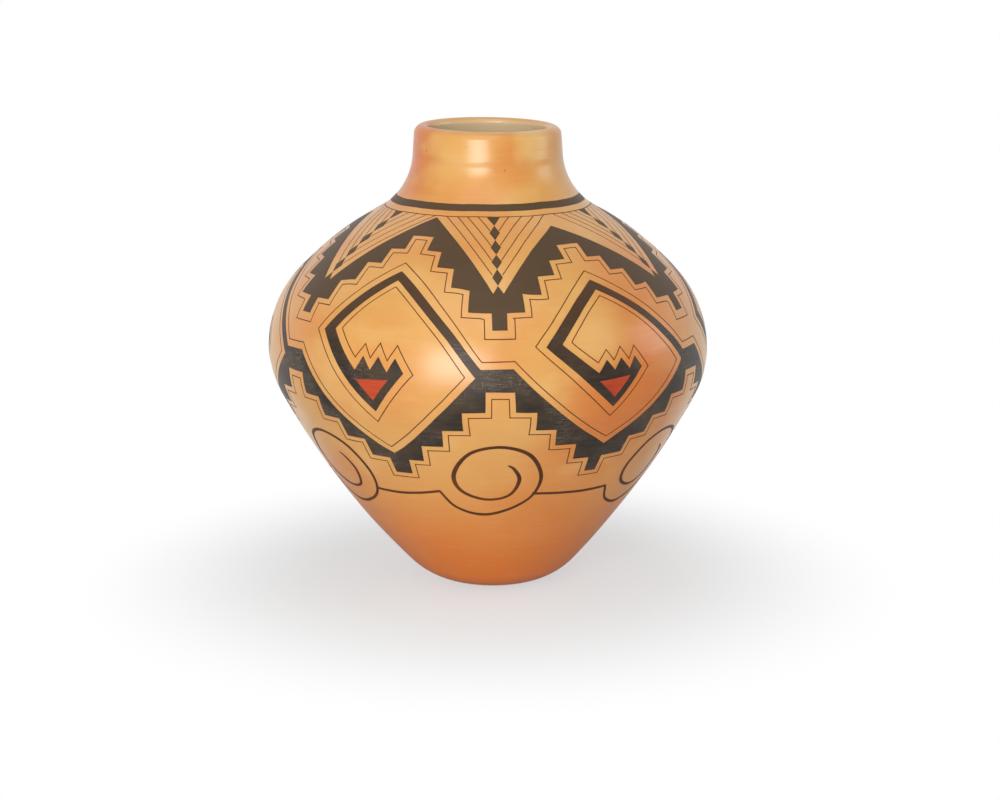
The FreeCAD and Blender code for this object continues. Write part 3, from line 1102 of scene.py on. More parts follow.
print("the V in front meets the belly at:", on_skin(np.array([[V_TURN, BELLY_HEIGHT]]), 0.0)[0].round(1))

# %% [markdown]
# Paint has no thickness to speak of. As a colour in the clay's own material its edges would be
# as coarse as a picture's dots, so each stroke is a thin closed solid: its top stands a tenth of
# a millimetre off the clay and its underside is sunk in it.

# %% A stroke's section
PAINT_DEPTH = 0.3
MITRE_LIMIT = 2.2
LEAST_TURN = 1e-4


def ways(centre, closed):
    """Unit vectors along a line before and after each of its points."""
    if closed:
        before = centre - np.roll(centre, 1, axis=0)
        after = np.roll(centre, -1, axis=0) - centre
    else:
        before = np.diff(centre, axis=0, prepend=2 * centre[:1] - centre[1:2])
        after = np.diff(centre, axis=0, append=2 * centre[-1:] - centre[-2:-1])
    return unit(before), unit(after)


def stroke_section(line, width, proud, closed):
    """Four corners at each point of a stroke, with the clay's normal, its way and half width."""
    centre, normal = on_skin(line, 0.0)
    before, after = ways(centre, closed)
    along = unit(before + after)
    half_turn = np.sqrt(np.clip((1 + (before * after).sum(1)) / 2, LEAST_TURN, 1))
    reach = np.broadcast_to(width, len(line)) / 2 * np.minimum(1 / half_turn, MITRE_LIMIT)
    side = np.cross(normal, along) * reach[:, None]
    top = normal * np.broadcast_to(proud, len(line))[:, None]
    deep = normal * -PAINT_DEPTH
    corners = [centre + side + top, centre - side + top, centre - side + deep, centre + side + deep]
    return np.stack(corners, 1), normal, along, side


print("paint goes", PAINT_DEPTH, "mm into the clay")

# %% [markdown]
# Each piece's colours go on a map. A stroke that goes round the jar would be
# squeezed into one line of dots by an automatic unwrap, so the map has a band for each repeat,
# with the angle along it and the height across it.

# %% The colour map of a paint
PAINT_MAP_SIDE = 0.04
PAINT_MAP_FOOT = 0.03


def paint_map(faces, places):
    """Where each corner of each face lies on the map, so that no two faces share a dot."""
    low, high = places[:, 1].min(), places[:, 1].max()
    out = []
    for face in faces:
        turn, height = places[face].T
        turn = turn[0] + (turn - turn[0] + math.pi) % (2 * math.pi) - math.pi
        band = math.floor(float(turn.mean()) / REPEAT_TURN)
        across = PAINT_MAP_SIDE + (1 - 2 * PAINT_MAP_SIDE) * (turn / REPEAT_TURN - band)
        rise = (height - low) / (high - low)
        up = band % REPEATS + PAINT_MAP_FOOT + (1 - 2 * PAINT_MAP_FOOT) * rise
        out += np.stack([across, up / REPEATS], 1).tolist()
    return out


print("bands on a paint's colour map:", REPEATS)

# %% [markdown]
# One brush makes many strokes, and they share a paint, so they are gathered into one piece. Each
# stroke keeps the angle and height of its points too, for the map.

# %% Strokes
class Paint:
    """Strokes and filled shapes of one paint, gathered into one piece."""

    def __init__(self):
        self.points, self.faces, self.normals, self.places = [], [], [], []
        self.count = 0

    def keep(self, points, faces, normals, places):
        """Adds a closed mesh; places are the angle and height of each point."""
        self.points.append(points)
        self.places.append(places)
        self.faces += [[corner + self.count for corner in face] for face in faces]
        self.normals += normals
        self.count += len(points)

    def stroke(self, line, width, proud, closed=False):
        """A brush line along close points; width and proud may change along it."""
        ring, normal, along, side = stroke_section(line, width, proud, closed)
        turn, height = line.T
        sideways = side[:, 0] * np.cos(turn) + side[:, 1] * np.sin(turn)
        shift = np.stack([sideways / outer_face.at_height(height)[0], side[:, 2]], 1)
        places = np.stack([line + shift, line - shift, line - shift, line + shift], 1)
        count = len(line)
        faces, normals = [], []
        for here in range(count if closed else count - 1):
            there = (here + 1) % count
            for start in range(4):
                end = (start + 1) % 4
                faces.append([here * 4 + start, here * 4 + end, there * 4 + end, there * 4 + start])
                if start == 0:
                    normals += [normal[here], normal[here], normal[there], normal[there]]
                else:
                    normals += [flat_normal(ring[here, start], ring[here, end], ring[there, start])] * 4
        if not closed:
            faces += [[3, 2, 1, 0], [count * 4 + corner for corner in (-4, -3, -2, -1)]]
            normals += [-along[0]] * 4 + [along[-1]] * 4
        self.keep(ring.reshape(-1, 3), faces, normals, places.reshape(-1, 2))
        return self

    def made(self, name, material, slot):
        """The piece."""
        points = np.concatenate(self.points)
        mapped = paint_map(self.faces, np.concatenate(self.places))
        piece = make_piece(name, points, self.faces, self.normals, mapped, material)
        print(name, len(self.faces), "faces")
        return piece


trial = Paint().stroke(np.array([(0.0, 180.0), (0.1, 180.0), (0.2, 180.0)]), 1.0, 0.1)
print("faces of a stroke along three points:", len(trial.faces))

# %% [markdown]
# A filled shape is drawn on the wall unrolled flat, filled with triangles by a Delaunay
# triangulation that keeps its outline, and laid back on the jar. Extra points inside let the
# triangles follow the round wall.

# %% Filling a loop
FILL_STEP = 3.2
UNROLL_RADIUS = 140.0
LEAST_GAP = 1e-4


def unrolled(line):
    """Angle and height as flat millimetres."""
    return np.stack([line[:, 0] * UNROLL_RADIUS, line[:, 1]], 1)


def fill_shape(loop):
    """Triangles that fill a closed loop of angle and height: places and faces."""
    outline = unrolled(loop)
    low, high = outline.min(0), outline.max(0)
    rows = np.arange(low[1] + FILL_STEP / 2, high[1], FILL_STEP)
    columns = np.arange(low[0] + FILL_STEP / 2, high[0], FILL_STEP)
    grid = np.stack(np.meshgrid(columns, rows), -1)
    grid[1::2, :, 0] += FILL_STEP / 2
    grid = grid.reshape(-1, 2)
    flat = np.concatenate([outline, grid])
    ring = list(range(len(outline)))
    corners = [Vector(place) for place in flat.tolist()]
    found = delaunay_2d_cdt(corners, [], [ring], 1, LEAST_GAP)
    places = np.array([list(place) for place in found[0]])
    faces = np.array([list(face) for face in found[2]])
    used = np.unique(faces)
    number = np.full(len(places), -1)
    number[used] = np.arange(len(used))
    places = places[used]
    places[:, 0] /= UNROLL_RADIUS
    return places, number[faces]


square = np.array([(across, height) for across, height in ((0, 0), (20, 0), (20, 20), (0, 20))])
print("triangles in a square of 20 mm:", len(fill_shape(square / (UNROLL_RADIUS, 1))[1]))

# %% [markdown]
# The triangles are the top of the paint. The same ones turned over lie under it in the clay, and
# a wall of faces along every open edge closes the two into a solid. A Solidify modifier would do
# this too, but it would lose the clay's exact normals on the top.

# %% Filled shapes
def open_edges(faces):
    """Edges that only one face has, in that face's order."""
    edges = {(a, b) for face in faces for a, b in zip(face, face[1:] + face[:1])}
    return [(a, b) for face in faces for a, b in zip(face, face[1:] + face[:1]) if (b, a) not in edges]


def solid_fill(paint, loop, proud):
    """Adds a filled shape to a paint as a thin closed solid."""
    places, faces = fill_shape(loop)
    top, normal = on_skin(places, proud)
    below, _ = on_skin(places, -PAINT_DEPTH)
    corners = top[faces]
    out = np.cross(corners[:, 1] - corners[:, 0], corners[:, 2] - corners[:, 0])
    turned = (out * normal[faces[:, 0]]).sum(1) < 0
    faces[turned] = faces[turned][:, ::-1]
    under = faces[:, ::-1]
    all_faces = faces.tolist() + (under + len(top)).tolist()
    normals = normal[faces].reshape(-1, 3).tolist() + (-normal[under]).reshape(-1, 3).tolist()
    for a, b in open_edges(faces.tolist()):
        all_faces.append([b, a, a + len(top), b + len(top)])
        normals += [flat_normal(top[b], top[a], below[a]).tolist()] * 4
    points = np.concatenate([top, below])
    paint.keep(points, all_faces, normals, np.concatenate([places, places]))


print("sides of a square:", len(open_edges([[0, 1, 2], [0, 2, 3]])))

# %% [markdown]
# The ring line and the band under the neck were drawn by turning the jar under a still brush, so
# they are level lines, closed on themselves, with only the hand's small waves in them.

# %% Lines round the neck
RING_HEIGHT = 273.7
BAND_LOW = 276.9
BAND_TOP = 281.2
FINE_WIDTH = 0.7
FINE_PROUD = 0.06
BLACK_PROUD = 0.1
RING_POINTS = 360
RING_PHASE = 1.7
RING_WANDER = 0.8


def ring_line(height):
    """Close points of a level line all the way round."""
    turn = np.linspace(-math.pi, math.pi, RING_POINTS, endpoint=False)
    return np.stack([turn, height + wander(turn, height, RING_PHASE) * RING_WANDER], 1)


band_width = float(outer_face.along_at(BAND_TOP) - outer_face.along_at(BAND_LOW))
neck_band = Paint().stroke(ring_line((BAND_LOW + BAND_TOP) / 2), band_width, BLACK_PROUD, True)
neck_band.made("paint_neck_band", upper_paint, "black_paint")
fine = Paint()
fine.stroke(ring_line(RING_HEIGHT), FINE_WIDTH, FINE_PROUD, True)

# %% [markdown]
# The two dark masses go all the way round the jar. Each of their edges is drawn one repeat at a
# time and joined, with close points across the small gaps, so that the paint never cuts straight
# through the round wall. An upper and a lower edge then make one closed loop.

# %% Lines all the way round
LEAST_STEP = 1e-6


def join_paths(*paths):
    """Paths one after another, with close points across each gap."""
    whole = [paths[0]]
    for path in paths[1:]:
        gap = path[0] - whole[-1][-1]
        count = max(1, math.ceil(math.hypot(gap[0] * UNROLL_RADIUS, gap[1]) / STROKE_STEP))
        share = np.arange(1, count)[:, None] / count
        whole.append(whole[-1][-1] + gap * share)
        whole.append(path)
    line = np.concatenate(whole)
    step = np.hypot(np.diff(line[:, 0]) * UNROLL_RADIUS, np.diff(line[:, 1]))
    return line[np.concatenate([[True], step > LEAST_STEP])]


def all_round(part, repeats):
    """A line all the way round the jar, joined from its six repeats."""
    return join_paths(*[part(repeat) for repeat in repeats])


def strip_loop(upper, lower):
    """A closed loop from the upper and lower edge of a strip that goes all round."""
    return join_paths(upper, lower[::-1], upper[:1])[:-1]


print("close points lie", STROKE_STEP, "mm apart")

# %% [markdown]
# The upper dark mass hangs between the V's. Its upper edge runs from peak to V tip and back, its
# lower edge steps down from a tower above each lozenge to a stem below each V.
# The steps could be cut from a rectangle by booleans, but a brush paints their outline, and a
# few treads and one centre line say all of it.

# %% Steps of the upper mass
TOWER_CENTRE = -1.5
TOWER_HALF = 8.2
TOWER_TOP = 259.4
# Each step of a tower: its near and far end, from the tower's middle, and its height.
UPPER_TREADS = ((8.8, 19.9, 251.6), (22.1, 33.8, 242.7), (37.4, 49.5, 231.8))
STEM_TREAD = (53.4, 219.8)
STEM_TREAD_END = 62.0
STEM_HALF = 5.0
STEM_TOP = 219.6
STEM_BOTTOM = 209.5
TREAD_FALL = 0.4
STEM_TREAD_FALL = 0.2


def tower_steps(side):
    """The steps on one side of an upper tower, from its top down."""
    places = [(TOWER_CENTRE + side * TOWER_HALF, TOWER_TOP)]
    for near, far, level in UPPER_TREADS:
        places.append((TOWER_CENTRE + side * near, level))
        places.append((TOWER_CENTRE + side * far, level - TREAD_FALL))
    places.append((TOWER_CENTRE + side * STEM_TREAD[0], STEM_TREAD[1] + STEM_TREAD_FALL))
    places.append((TOWER_CENTRE + side * STEM_TREAD_END, STEM_TREAD[1]))
    return places


def stepped_edge(repeat):
    """Lower edge of the mass from one tower's middle to the next, round the stem between."""
    here, there = charts["lozenge", repeat - 1], charts["lozenge", repeat]
    foot = [(side * STEM_HALF, STEM_BOTTOM) for side in (-1, 1)]
    stem = charts["v", repeat].path((-STEM_HALF, STEM_TOP), *foot, (STEM_HALF, STEM_TOP))
    down = here.path((0.0, TOWER_TOP), *tower_steps(1))
    up = there.path(*tower_steps(-1)[::-1], (0.0, TOWER_TOP))
    return join_paths(down, stem, up)


print("steps on each side of a tower:", len(tower_steps(1)))

# %% [markdown]
# The upper edge of the mass is the V's own edge: down from a peak to the tip, over a small wedge
# and up to the next peak. The peaks follow their lozenge's lift, so the V's are a little uneven,
# as they are on the jar.

# %% Upper stepped mass
V_TIP = (3.6, 230.9)
V_WEDGE = 235.4
PEAK_HEIGHT = 270.1
PEAK_SLIDE = -2.1
PEAK_SLIDE_SHARE = -0.4
V_BOW = 1.6


def peak_on(chart, repeat):
    """The peak of the mass above a lozenge, as a place on a V's chart."""
    height = PEAK_HEIGHT + REPEAT_LIFT[home(repeat)]
    slide = PEAK_SLIDE + PEAK_SLIDE_SHARE * REPEAT_SLIDE[home(repeat)]
    radius = float(outer_face.at_height(height)[0])
    turn = charts["lozenge", repeat].turn + slide / radius
    return radius * math.sin(turn - chart.turn), height


def v_edge(repeat):
    """Upper edge of the mass from one peak down to a V's tip and up to the next peak."""
    middle = charts["v", repeat]
    left, right = peak_on(middle, repeat - 1), peak_on(middle, repeat)
    across, tip = V_TIP
    return middle.path((*left, V_BOW), (-across, tip), (0.0, V_WEDGE), (across, tip, V_BOW), right)


upper_mass = Paint()
upper_edge = by_hand(all_round(v_edge, VS_ROUND), NO_LIFTS)
lower_edge = by_hand(all_round(stepped_edge, VS_ROUND), STEP_LIFTS)
solid_fill(upper_mass, strip_loop(upper_edge, lower_edge), BLACK_PROUD)
upper_mass.made("paint_upper_steps", upper_paint, "black_paint")

# %% [markdown]
# The frames, hooks, knots and the lower band are one dark shape. Its upper edge follows the
# clay lozenge, turns back along the frame, runs round the teeth of the hook and over the knot.
# Drawn so, as one edge from knot to knot, frame and band can't come apart when a corner moves.

# %% Upper edge of the frames
# Places on a chart; a third number bows the edge that leaves the place.
KNOT_LEFT = (-12.6, 184.9)
KNOT_MIDDLE = (0.0, 185.3)
KNOT_RIGHT = (8.1, 185.5)
KNOT_BOW = -4.8
CLAY_BOTTOM = (-0.5, 124.3, -3.0)
CLAY_RIGHT = (63.9, 179.1, -4.7)
FRAME_INNER_TOP = (-1.6, 233.4, -2.0)
FRAME_INNER_LEFT = (-38.9, 201.8, -0.5)
HOOK_VALLEY = (-16.8, 179.5)
HOOK_TEETH = ((-10.5, 188.5), (-4.6, 180.6), (1.2, 189.0), (7.9, 180.2), (13.2, 188.9), (19.4, 180.3))
HOOK_BOTTOM = (-3.5, 153.9, 1.5)
FRAME_OUTER_LEFT = (-49.3, 200.3, 3.0)
FRAME_OUTER_TOP = (-2.2, 239.0, 4.6)


def from_v(place, turns=0):
    """A place on the chart of the V to the left, or of one further on, as the lozenge sees it."""
    radius = float(outer_face.at_height(place[1])[0])
    turn = V_TURN - LOZENGE_TURN + turns * REPEAT_TURN + math.asin(place[0] / radius)
    return radius * math.sin(turn), place[1]


def frame_edge(repeat):
    """Upper edge of the frames and band, from the middle of one knot to the next."""
    places = [(*from_v(KNOT_RIGHT), KNOT_BOW), CLAY_BOTTOM, CLAY_RIGHT, FRAME_INNER_TOP]
    places += [FRAME_INNER_LEFT, HOOK_VALLEY, *HOOK_TEETH, HOOK_BOTTOM]
    places += [FRAME_OUTER_LEFT, FRAME_OUTER_TOP, from_v(KNOT_LEFT, 1)]
    start = charts["v", repeat].path(KNOT_MIDDLE, KNOT_RIGHT)
    end = charts["v", repeat + 1].path(KNOT_LEFT, KNOT_MIDDLE)
    return join_paths(start, charts["lozenge", repeat].path(*places), end)


frames_edge = by_hand(all_round(frame_edge, LOZENGES_ROUND), LOZENGE_LIFTS)
print("points along the frames:", len(frames_edge))

# %% [markdown]
# The lower edge of the same shape climbs in steps from a stem under each lozenge to a gate under
# each knot. Two of the stems were painted a little to one side and wider or narrower, which a
# mirrored stair alone would never give, so each stair takes a slip and a spread.

# %% Frames, hooks and lower band
LOWER_STEM_CENTRE = -0.6
LOWER_STEM_HALF = 4.9
LOWER_STEM_BOTTOM = 106.1
LOWER_TREADS = ((5.9, 19.6, 117.2), (21.7, 36.6, 129.4), (39.3, 53.0, 142.1))
LOWER_TREAD_RISE = 0.3
LOWER_LAST = (54.8, 155.6)
LOWER_LAST_END = (63.0, 155.7)
# By repeat, how far the foot of the stem slips sideways and how much wider it gets.
STEM_SLIPS = {-1: (1.8, 1.4), 0: (-2.8, -0.7)}
GATE_HALF = 9.6
GATE_FOOT_HALF = 10.1
GATE_LOW = 156.0
GATE_TOP = 170.0


def lower_steps(repeat):
    """The steps down one side of a lower stem and up the other."""
    stairs = [(LOWER_STEM_HALF, LOWER_STEM_BOTTOM)]
    for near, far, level in LOWER_TREADS:
        stairs += [(near, level), (far, level + LOWER_TREAD_RISE)]
    slip, spread = STEM_SLIPS.get(repeat, (0.0, 0.0))
    left, right = [], []
    for across, level in [*stairs, LOWER_LAST, LOWER_LAST_END]:
        low = np.interp(across, (LOWER_TREADS[0][0], LOWER_TREADS[1][0]), (1, 0))
        left.append((LOWER_STEM_CENTRE - across + (slip - spread) * low, level))
        right.append((LOWER_STEM_CENTRE + across + (slip + spread) * low, level))
    return left[::-1] + right


def from_gates(repeat, steps, half, foot_half, low, top):
    """A line from the middle of one gate down its side, round the steps, to the next gate."""
    start = charts["v", repeat].path((0.0, top), (half, top), (foot_half, low))
    end = charts["v", repeat + 1].path((-foot_half, low), (-half, top), (0.0, top))
    return join_paths(start, charts["lozenge", repeat].path(*steps), end)


def band_edge(repeat):
    """Lower edge of the band from one gate's middle to the next, round the stem between."""
    return from_gates(repeat, lower_steps(repeat), GATE_HALF, GATE_FOOT_HALF, GATE_LOW, GATE_TOP)


frames = Paint()
gates_edge = by_hand(all_round(band_edge, LOZENGES_ROUND), NO_LIFTS)
solid_fill(frames, strip_loop(frames_edge, gates_edge), BLACK_PROUD)
frames.made("paint_frames_and_band", lower_paint, "black_paint")

# %% [markdown]
# Fine lines follow the dark shapes a few millimetres away. On the jar they come from one or two
# hairs of yucca, so they are thin, even and reddish where the paint is thin.
# An offset of the finished mesh would round their corners, so the corners themselves are moved.

# %% Fine outlines
OUTLINE_GAP = 3.8
STEM_OUTLINE_HALF = 10.0
STEM_OUTLINE_TOP = 216.0
STEM_OUTLINE_LOW = 204.2
GATE_OUTLINE_HALF = 5.7
GATE_OUTLINE_FOOT_HALF = 6.1
GATE_OUTLINE_TOP = 165.4
GATE_OUTLINE_LOW = 152.2


def beside(places, gap):
    """Corners of a line that follows others at a distance, to the right of their way."""
    corners = np.array([(place[0], outer_face.along_at(place[1])) for place in places], dtype=float)
    legs = unit(np.diff(corners, axis=0))
    sides = np.stack([legs[:, 1], -legs[:, 0]], 1)
    before = np.concatenate([sides[:1], sides])
    after = np.concatenate([sides, sides[-1:]])
    mitre = (before + after) / (1 + (before * after).sum(1))[:, None]
    return [(across, float(outer_face.at(along)[1])) for across, along in corners + mitre * gap]


def upper_outline(repeat):
    """The fine line under the steps of the upper mass, from one tower to the next."""
    here, there = charts["lozenge", repeat - 1], charts["lozenge", repeat]
    half, top, low = STEM_OUTLINE_HALF, STEM_OUTLINE_TOP, STEM_OUTLINE_LOW
    down = here.path(*beside([(0.0, TOWER_TOP), *tower_steps(1)], OUTLINE_GAP))
    stem = charts["v", repeat].path((-half, top), (-half, low), (half, low), (half, top))
    up = there.path(*beside([*tower_steps(-1)[::-1], (0.0, TOWER_TOP)], OUTLINE_GAP))
    return join_paths(down, stem, up)


def lower_outline(repeat):
    """The fine line under the steps of the lower band, from one gate to the next."""
    steps = beside(lower_steps(repeat), OUTLINE_GAP)
    half, foot_half = GATE_OUTLINE_HALF, GATE_OUTLINE_FOOT_HALF
    return from_gates(repeat, steps, half, foot_half, GATE_OUTLINE_LOW, GATE_OUTLINE_TOP)


fine.stroke(by_hand(all_round(upper_outline, VS_ROUND), STEP_LIFTS), FINE_WIDTH, FINE_PROUD)
fine.stroke(by_hand(all_round(lower_outline, LOZENGES_ROUND), NO_LIFTS), FINE_WIDTH, FINE_PROUD)
print("fine lines so far:", len(fine.points))

# %% [markdown]
# One line goes through all the lozenges: along the clay, up into the frame, round the hook's
# teeth and back out to the next. The brush was lifted only to be filled, and the line keeps a
# different distance on each side, so its corners are given and not offset from the frame's.

# %% The line through the lozenges
# Places on a lozenge's chart; a third number bows the edge that leaves the place.
THROUGH_LOZENGE = (
    (-69.5, 190.4, -4.8),
    (-1.0, 129.5, -3.0),
    (57.6, 179.6, -4.5),
    (-1.1, 229.7, -1.8),
    (-32.7, 202.8, -0.4),
    (-17.0, 187.1),
    (-10.0, 195.7),
    (-4.9, 187.7),
    (1.4, 196.8),
    (7.9, 187.1),
    (13.7, 196.4),
    (25.6, 179.9),
    (-4.1, 146.9, 1.7),
    (-55.7, 200.3, 3.3),
    (-2.6, 244.0, 4.9),
    (67.0, 189.7),
)
meander_parts = [charts["lozenge", repeat].path(*THROUGH_LOZENGE) for repeat in LOZENGES_ROUND]
meander = join_paths(*meander_parts, meander_parts[0][:1] + (2 * math.pi, 0))
fine.stroke(by_hand(meander, LOZENGE_LIFTS), FINE_WIDTH, FINE_PROUD)
print("length of that line in mm:", round(len(meander) * STROKE_STEP))

# %% [markdown]
# Four fine lines on each side of a V run from the ring down to the chain in its middle. They
# aren't quite level with each other from left to right, and they bow a little, the long ones
# more than the short ones.

# %% Lines in the V
V_LINE_TOPS_LEFT = (31.3, 24.3, 17.6, 10.4)
V_LINE_TOPS_RIGHT = (34.4, 27.2, 19.3, 11.0)
V_LINE_ENDS = ((3.4, 241.5), (3.3, 249.8), (3.1, 258.0), (2.9, 266.0))
V_LINE_WIDTH = 0.64
V_LINE_PROUD = FINE_PROUD * 0.8
V_LINE_BOW_SHARE = 0.018
for repeat in VS_ROUND:
    middle = charts["v", repeat]
    for top_left, top_right, (across, low) in zip(V_LINE_TOPS_LEFT, V_LINE_TOPS_RIGHT, V_LINE_ENDS):
        bow = V_LINE_BOW_SHARE * top_left
        left = middle.path((-top_left, RING_HEIGHT, bow), (-across, low))
        right = middle.path((across, low, bow), (top_right, RING_HEIGHT))
        for line in (left, right):
            fine.stroke(by_hand(line, NO_LIFTS), V_LINE_WIDTH, V_LINE_PROUD)
fine.made("paint_fine_lines", line_paint, "black_paint")

# %% [markdown]
# Down the middle of each V hangs a chain of small lozenges, tip to tip, with half a lozenge at
# the top. Their heights differ, so the tips are listed and each lozenge spans two of them.

# %% Chains
CHAIN_TIPS = (235.4, 244.8, 253.0, 261.0, 268.8)
CHAIN_HALF = 3.5
CHAIN_TOP_HALF = 4.7
chain_corners = []
for low, high in zip(CHAIN_TIPS, CHAIN_TIPS[1:]):
    centre = (low + high) / 2
    chain_corners.append(((0.0, low), (CHAIN_HALF, centre), (0.0, high), (-CHAIN_HALF, centre)))
chain_top = ((0.0, CHAIN_TIPS[-1]), (CHAIN_TOP_HALF, RING_HEIGHT), (-CHAIN_TOP_HALF, RING_HEIGHT))
chain_corners.append(chain_top)


def closed_loop(chart, corners):
    """Close points round a closed shape."""
    return chart.path(*corners, corners[0])[:-1]


chains = Paint()
for repeat in VS_ROUND:
    for corners in chain_corners:
        solid_fill(chains, by_hand(closed_loop(charts["v", repeat], corners), NO_LIFTS), BLACK_PROUD)
chains.made("paint_chains", upper_paint, "black_paint")

# %% [markdown]
# A triangle of red slip sits in the foot of each hook. It lies on the dark paint, so it stands
# proud of it by a hair, or the two would flicker through each other.

# %% Red triangles
RED_CORNERS = ((-16.3, 173.8), (-3.8, 161.2), (8.7, 175.4))
RED_PROUD = 0.16
reds = Paint()
for repeat in LOZENGES_ROUND:
    triangle = closed_loop(charts["lozenge", repeat], RED_CORNERS)
    solid_fill(reds, by_hand(triangle, LOZENGE_LIFTS), RED_PROUD)
reds.made("paint_red_triangles", red_paint, "red_paint")

# %% [markdown]
# On the ground line under each V sits a scroll, one stroke with a fuller brush: the line dips,
# swings round in a wide loop and curls in. A spiral formula would be too even for a loop that
# leans and flattens, so a smooth curve goes through a few places, each with the brush's width.

# %% A smooth curve
# Across and height on a V's chart, and the width of the stroke there.
SCROLL = (
    (-40.2, 93.3, 1.9),
    (-29.3, 80.9, 2.0),
    (-12.0, 74.9, 2.6),
    (6.2, 79.0, 2.3),
    (22.0, 89.6, 2.1),
    (27.8, 106.0, 2.7),
    (19.5, 123.3, 2.9),
    (-0.7, 130.0, 2.5),
    (-21.0, 124.6, 2.6),
    (-31.0, 108.3, 3.1),
    (-25.6, 94.6, 2.6),
    (-8.7, 87.7, 2.3),
    (6.6, 91.2, 2.2),
    (13.0, 103.2, 2.8),
    (9.6, 112.0, 2.3),
    (5.4, 115.4, 1.2),
)
CURVE_STEP = 1.5


def smooth(places):
    """Close points of a smooth curve through places, which may hold more than two numbers."""
    knots = np.array(places)
    padded = np.concatenate([2 * knots[:1] - knots[1:2], knots, 2 * knots[-1:] - knots[-2:-1]])
    out = []
    for index in range(1, len(padded) - 2):
        a, b, c, d = padded[index - 1 : index + 3]
        count = max(2, math.ceil(math.dist(b[:2], c[:2]) / CURVE_STEP))
        for share in np.arange(count) / count:
            linear = b * 2 + (c - a) * share
            square = (2 * a - 5 * b + 4 * c - d) * share**2
            cube = (3 * b - a - 3 * c + d) * share**3
            out.append((linear + square + cube) / 2)
    out.append(knots[-1])
    return np.array(out)


scroll_curve = smooth(SCROLL)
print("points along a scroll:", len(scroll_curve))

# %% [markdown]
# The ground line runs from the foot of one scroll to the start of the next, sagging a little
# between. Line and scroll are one stroke, which gets fuller and stands prouder as it goes on.

# %% Scrolls
GROUND_START = (22.0, 91.4)
GROUND_MIDDLE = 89.2
GROUND_WIDTH = 2.3
GROUND_POINTS = 47
# By repeat, how far the whole scroll under a V sits to the right and up.
SCROLL_SHIFTS = {-3: (2.0, 1.0), -2: (-2.0, 1.5), -1: (9.0, -2.0), 1: (-2.5, -4.0)}
NO_SHIFT = (0.0, 0.0)


def ground_line(start, end):
    """Close points of the ground line between two places of angle and height, sagging."""
    share = np.arange(GROUND_POINTS)[:, None] / GROUND_POINTS
    sag = (start[1] + end[1]) / 2 - GROUND_MIDDLE
    line = start + (end - start) * share
    line[:, 1] -= (4 * share * (1 - share) * sag)[:, 0]
    return line


def scroll_stroke(repeat):
    """The ground line from one V and the scroll under the next, and the width along them."""
    near_shift = SCROLL_SHIFTS.get(home(repeat), NO_SHIFT)
    far_shift = SCROLL_SHIFTS.get(home(repeat + 1), NO_SHIFT)
    start = np.array(charts["v", repeat].wall(*np.add(GROUND_START, near_shift)))
    places = scroll_curve[:, :2] + far_shift
    scroll = np.stack(charts["v", repeat + 1].wall(places[:, 0], places[:, 1]), 1)
    ground = ground_line(start, scroll[0])
    widths = np.concatenate([np.full(len(ground), GROUND_WIDTH), scroll_curve[:, 2]])
    return np.concatenate([ground, scroll]), widths


scrolls = Paint()
for repeat in LOZENGES_ROUND:
    line, widths = scroll_stroke(repeat)
    proud = np.linspace(FINE_PROUD, BLACK_PROUD, len(line))
    scrolls.stroke(by_hand(line, NO_LIFTS), widths, proud)
scrolls.made("paint_scrolls", scroll_paint, "black_paint")

# %% [markdown]
# The background of the picture is white, but a white room would light the jar far too much. So
# floor and world show white only to rays that end in the picture: those that the camera sends
# straight, those that glass would let through, and those that a gleam mirrors.

# %% Rays that end in the picture
def shows_backdrop(finish, mirrored_share):
    """1 for rays that end in the picture, with the share that counts of the mirrored ones."""
    camera = finish.node("ShaderNodeLightPath", {}, {}, "Is Camera Ray")
    mirrored = finish.node("ShaderNodeLightPath", {}, {}, "Is Glossy Ray")
    through = finish.node("ShaderNodeLightPath", {}, {}, "Is Transmission Ray")
    return camera + mirrored * mirrored_share + through


print("materials so far:", len(bpy.data.materials))

# %% [markdown]
# The jar stands on a pale sweep. A bright floor lit by strong lamps would light the jar from
# below and wash its colours out. So the floor is a plain grey-white that catches the shadow, and
# only rays that end in the picture see it lifted, and fading into white further off.

# %% Floor
WHITE = (1, 1, 1, 1)
FLOOR_GREY = (0.75, 0.8, 0.83, 1)
FLOOR_REACH = 6.0
FLOOR_LIFT = 0.56
FLOOR_FADE = (110, 310)
BACKDROP_DEPTH = 0.3


def pale_floor():
    """A white floor that keeps the jar's shadow and fades into the white world far away."""
    finish = Finish("floor_white")
    depth = finish.part(finish.place(), "Y")
    seen = shows_backdrop(finish, finish.step(depth, 0.0, BACKDROP_DEPTH))
    diffuse = finish.node("ShaderNodeBsdfDiffuse", {}, {"Color": FLOOR_GREY})
    white = finish.node("ShaderNodeEmission", {}, {"Color": WHITE, "Strength": 1.0})
    lifted = finish.node("ShaderNodeMixShader", {}, {0: seen * FLOOR_LIFT, 1: diffuse, 2: white})
    fade = finish.step(finish.away_from((0, 0, 0)), *FLOOR_FADE) * seen
    return finish.close(finish.node("ShaderNodeMixShader", {}, {0: fade, 1: lifted, 2: white}))


floor_mesh = bpy.data.meshes.new("floor")
corners = [(side * FLOOR_REACH, end * FLOOR_REACH, 0) for side, end in ((-1, -1), (1, -1), (1, 1), (-1, 1))]
floor_mesh.from_pydata(corners, [], [(0, 1, 2, 3)])
floor_mesh.materials.append(pale_floor())
floor = bpy.data.objects.new("floor", floor_mesh)
bpy.context.scene.collection.objects.link(floor)
print("floor:", 2 * FLOOR_REACH, "m wide")

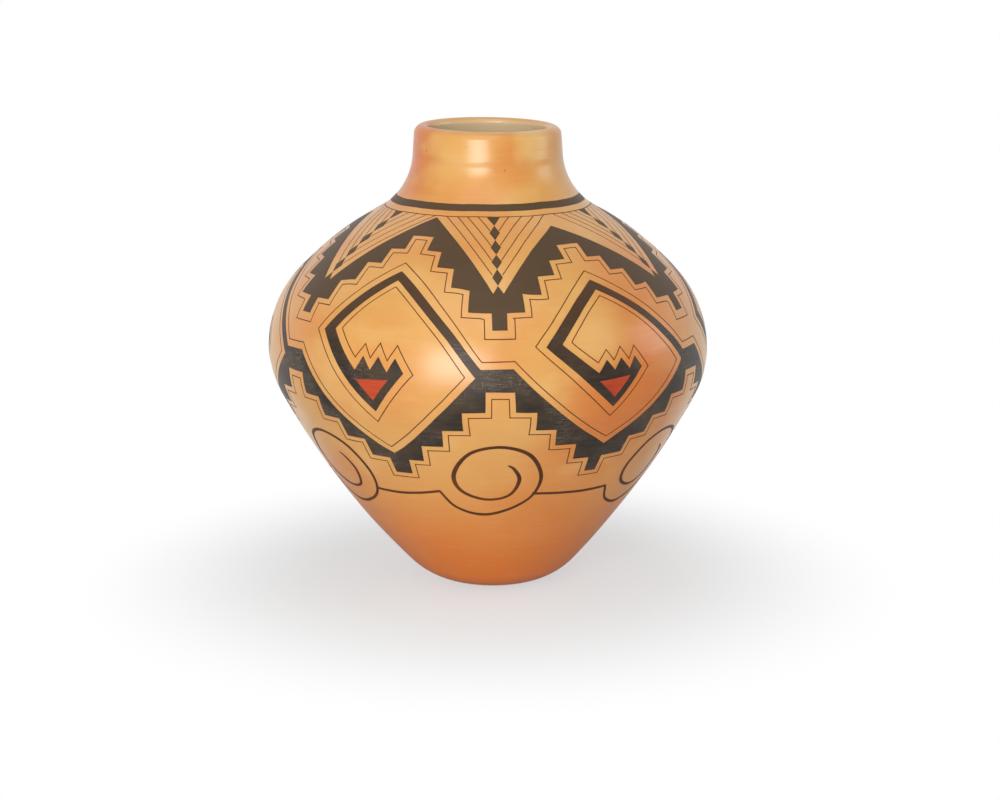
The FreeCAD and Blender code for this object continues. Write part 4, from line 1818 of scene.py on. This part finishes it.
# %% [markdown]
# The world lights the jar evenly and faintly from all sides, yet the picture's background is
# white. Light Path tells the two apart: straight rays, and mirrored ones behind the jar, see a
# strength of 1, and all other rays see the even light.

# %% World
EVEN_LIGHT = 0.3
BACKDROP_START = 0.6
room = Finish("studio", bpy.data.worlds, "ShaderNodeOutputWorld")
lit = room.node("ShaderNodeBackground", {}, {"Color": WHITE, "Strength": EVEN_LIGHT})
shown = room.node("ShaderNodeBackground", {}, {"Color": WHITE, "Strength": 1.0})
direction = room.node("ShaderNodeTexCoord", {}, {}, "Generated")
behind = room.step(room.part(direction, "Y"), 0.0, BACKDROP_START)
either = room.node("ShaderNodeMixShader", {}, {0: shows_backdrop(room, behind), 1: lit, 2: shown})
bpy.context.scene.world = room.close(either)
print("world:", bpy.context.scene.world.name)

# %% [markdown]
# A tall soft window in front, a little to the left, gives the long gleam that a burnished wall
# has. A broad soft light overhead opens the mouth and the shoulder, and a weak one from the
# right keeps that side from falling away. Sun lamps would be simpler but their gleam is a dot.

# %% Lights
def soft_light(name, azimuth, elevation, distance, size, power):
    """A soft rectangular light that looks at the jar's belly; azimuth 0 is the camera's side."""
    data = bpy.data.lights.new(name, "AREA")
    data.shape = "RECTANGLE"
    data.size, data.size_y = size
    data.energy = power
    light = bpy.data.objects.new(name, data)
    turn, rise = math.radians(azimuth), math.radians(elevation)
    away = Vector((math.sin(turn) * math.cos(rise), -math.cos(turn) * math.cos(rise), math.sin(rise)))
    middle = Vector((0, 0, BELLY_HEIGHT * METRES_PER_MM))
    light.location = middle + away * distance
    light.rotation_mode = "QUATERNION"
    light.rotation_quaternion = (-away).to_track_quat("-Z", "Y")
    bpy.context.scene.collection.objects.link(light)
    return light


# Name, azimuth and elevation in degrees, distance and size in metres, power in watts.
soft_light("window", -15.5, 11, 2.2, (1.1, 1.1), 28)
soft_light("overhead", -10, 62, 2.0, (1.6, 1.6), 9)
soft_light("side", 94, 14, 2.2, (0.9, 0.9), 6)
print("lights:", len(bpy.data.lights))

# %% [markdown]
# Standard shows a colour as it is written, where Blender's default look would grey the clay.

# %% The picture's look
bpy.context.scene.view_settings.view_transform = "Standard"
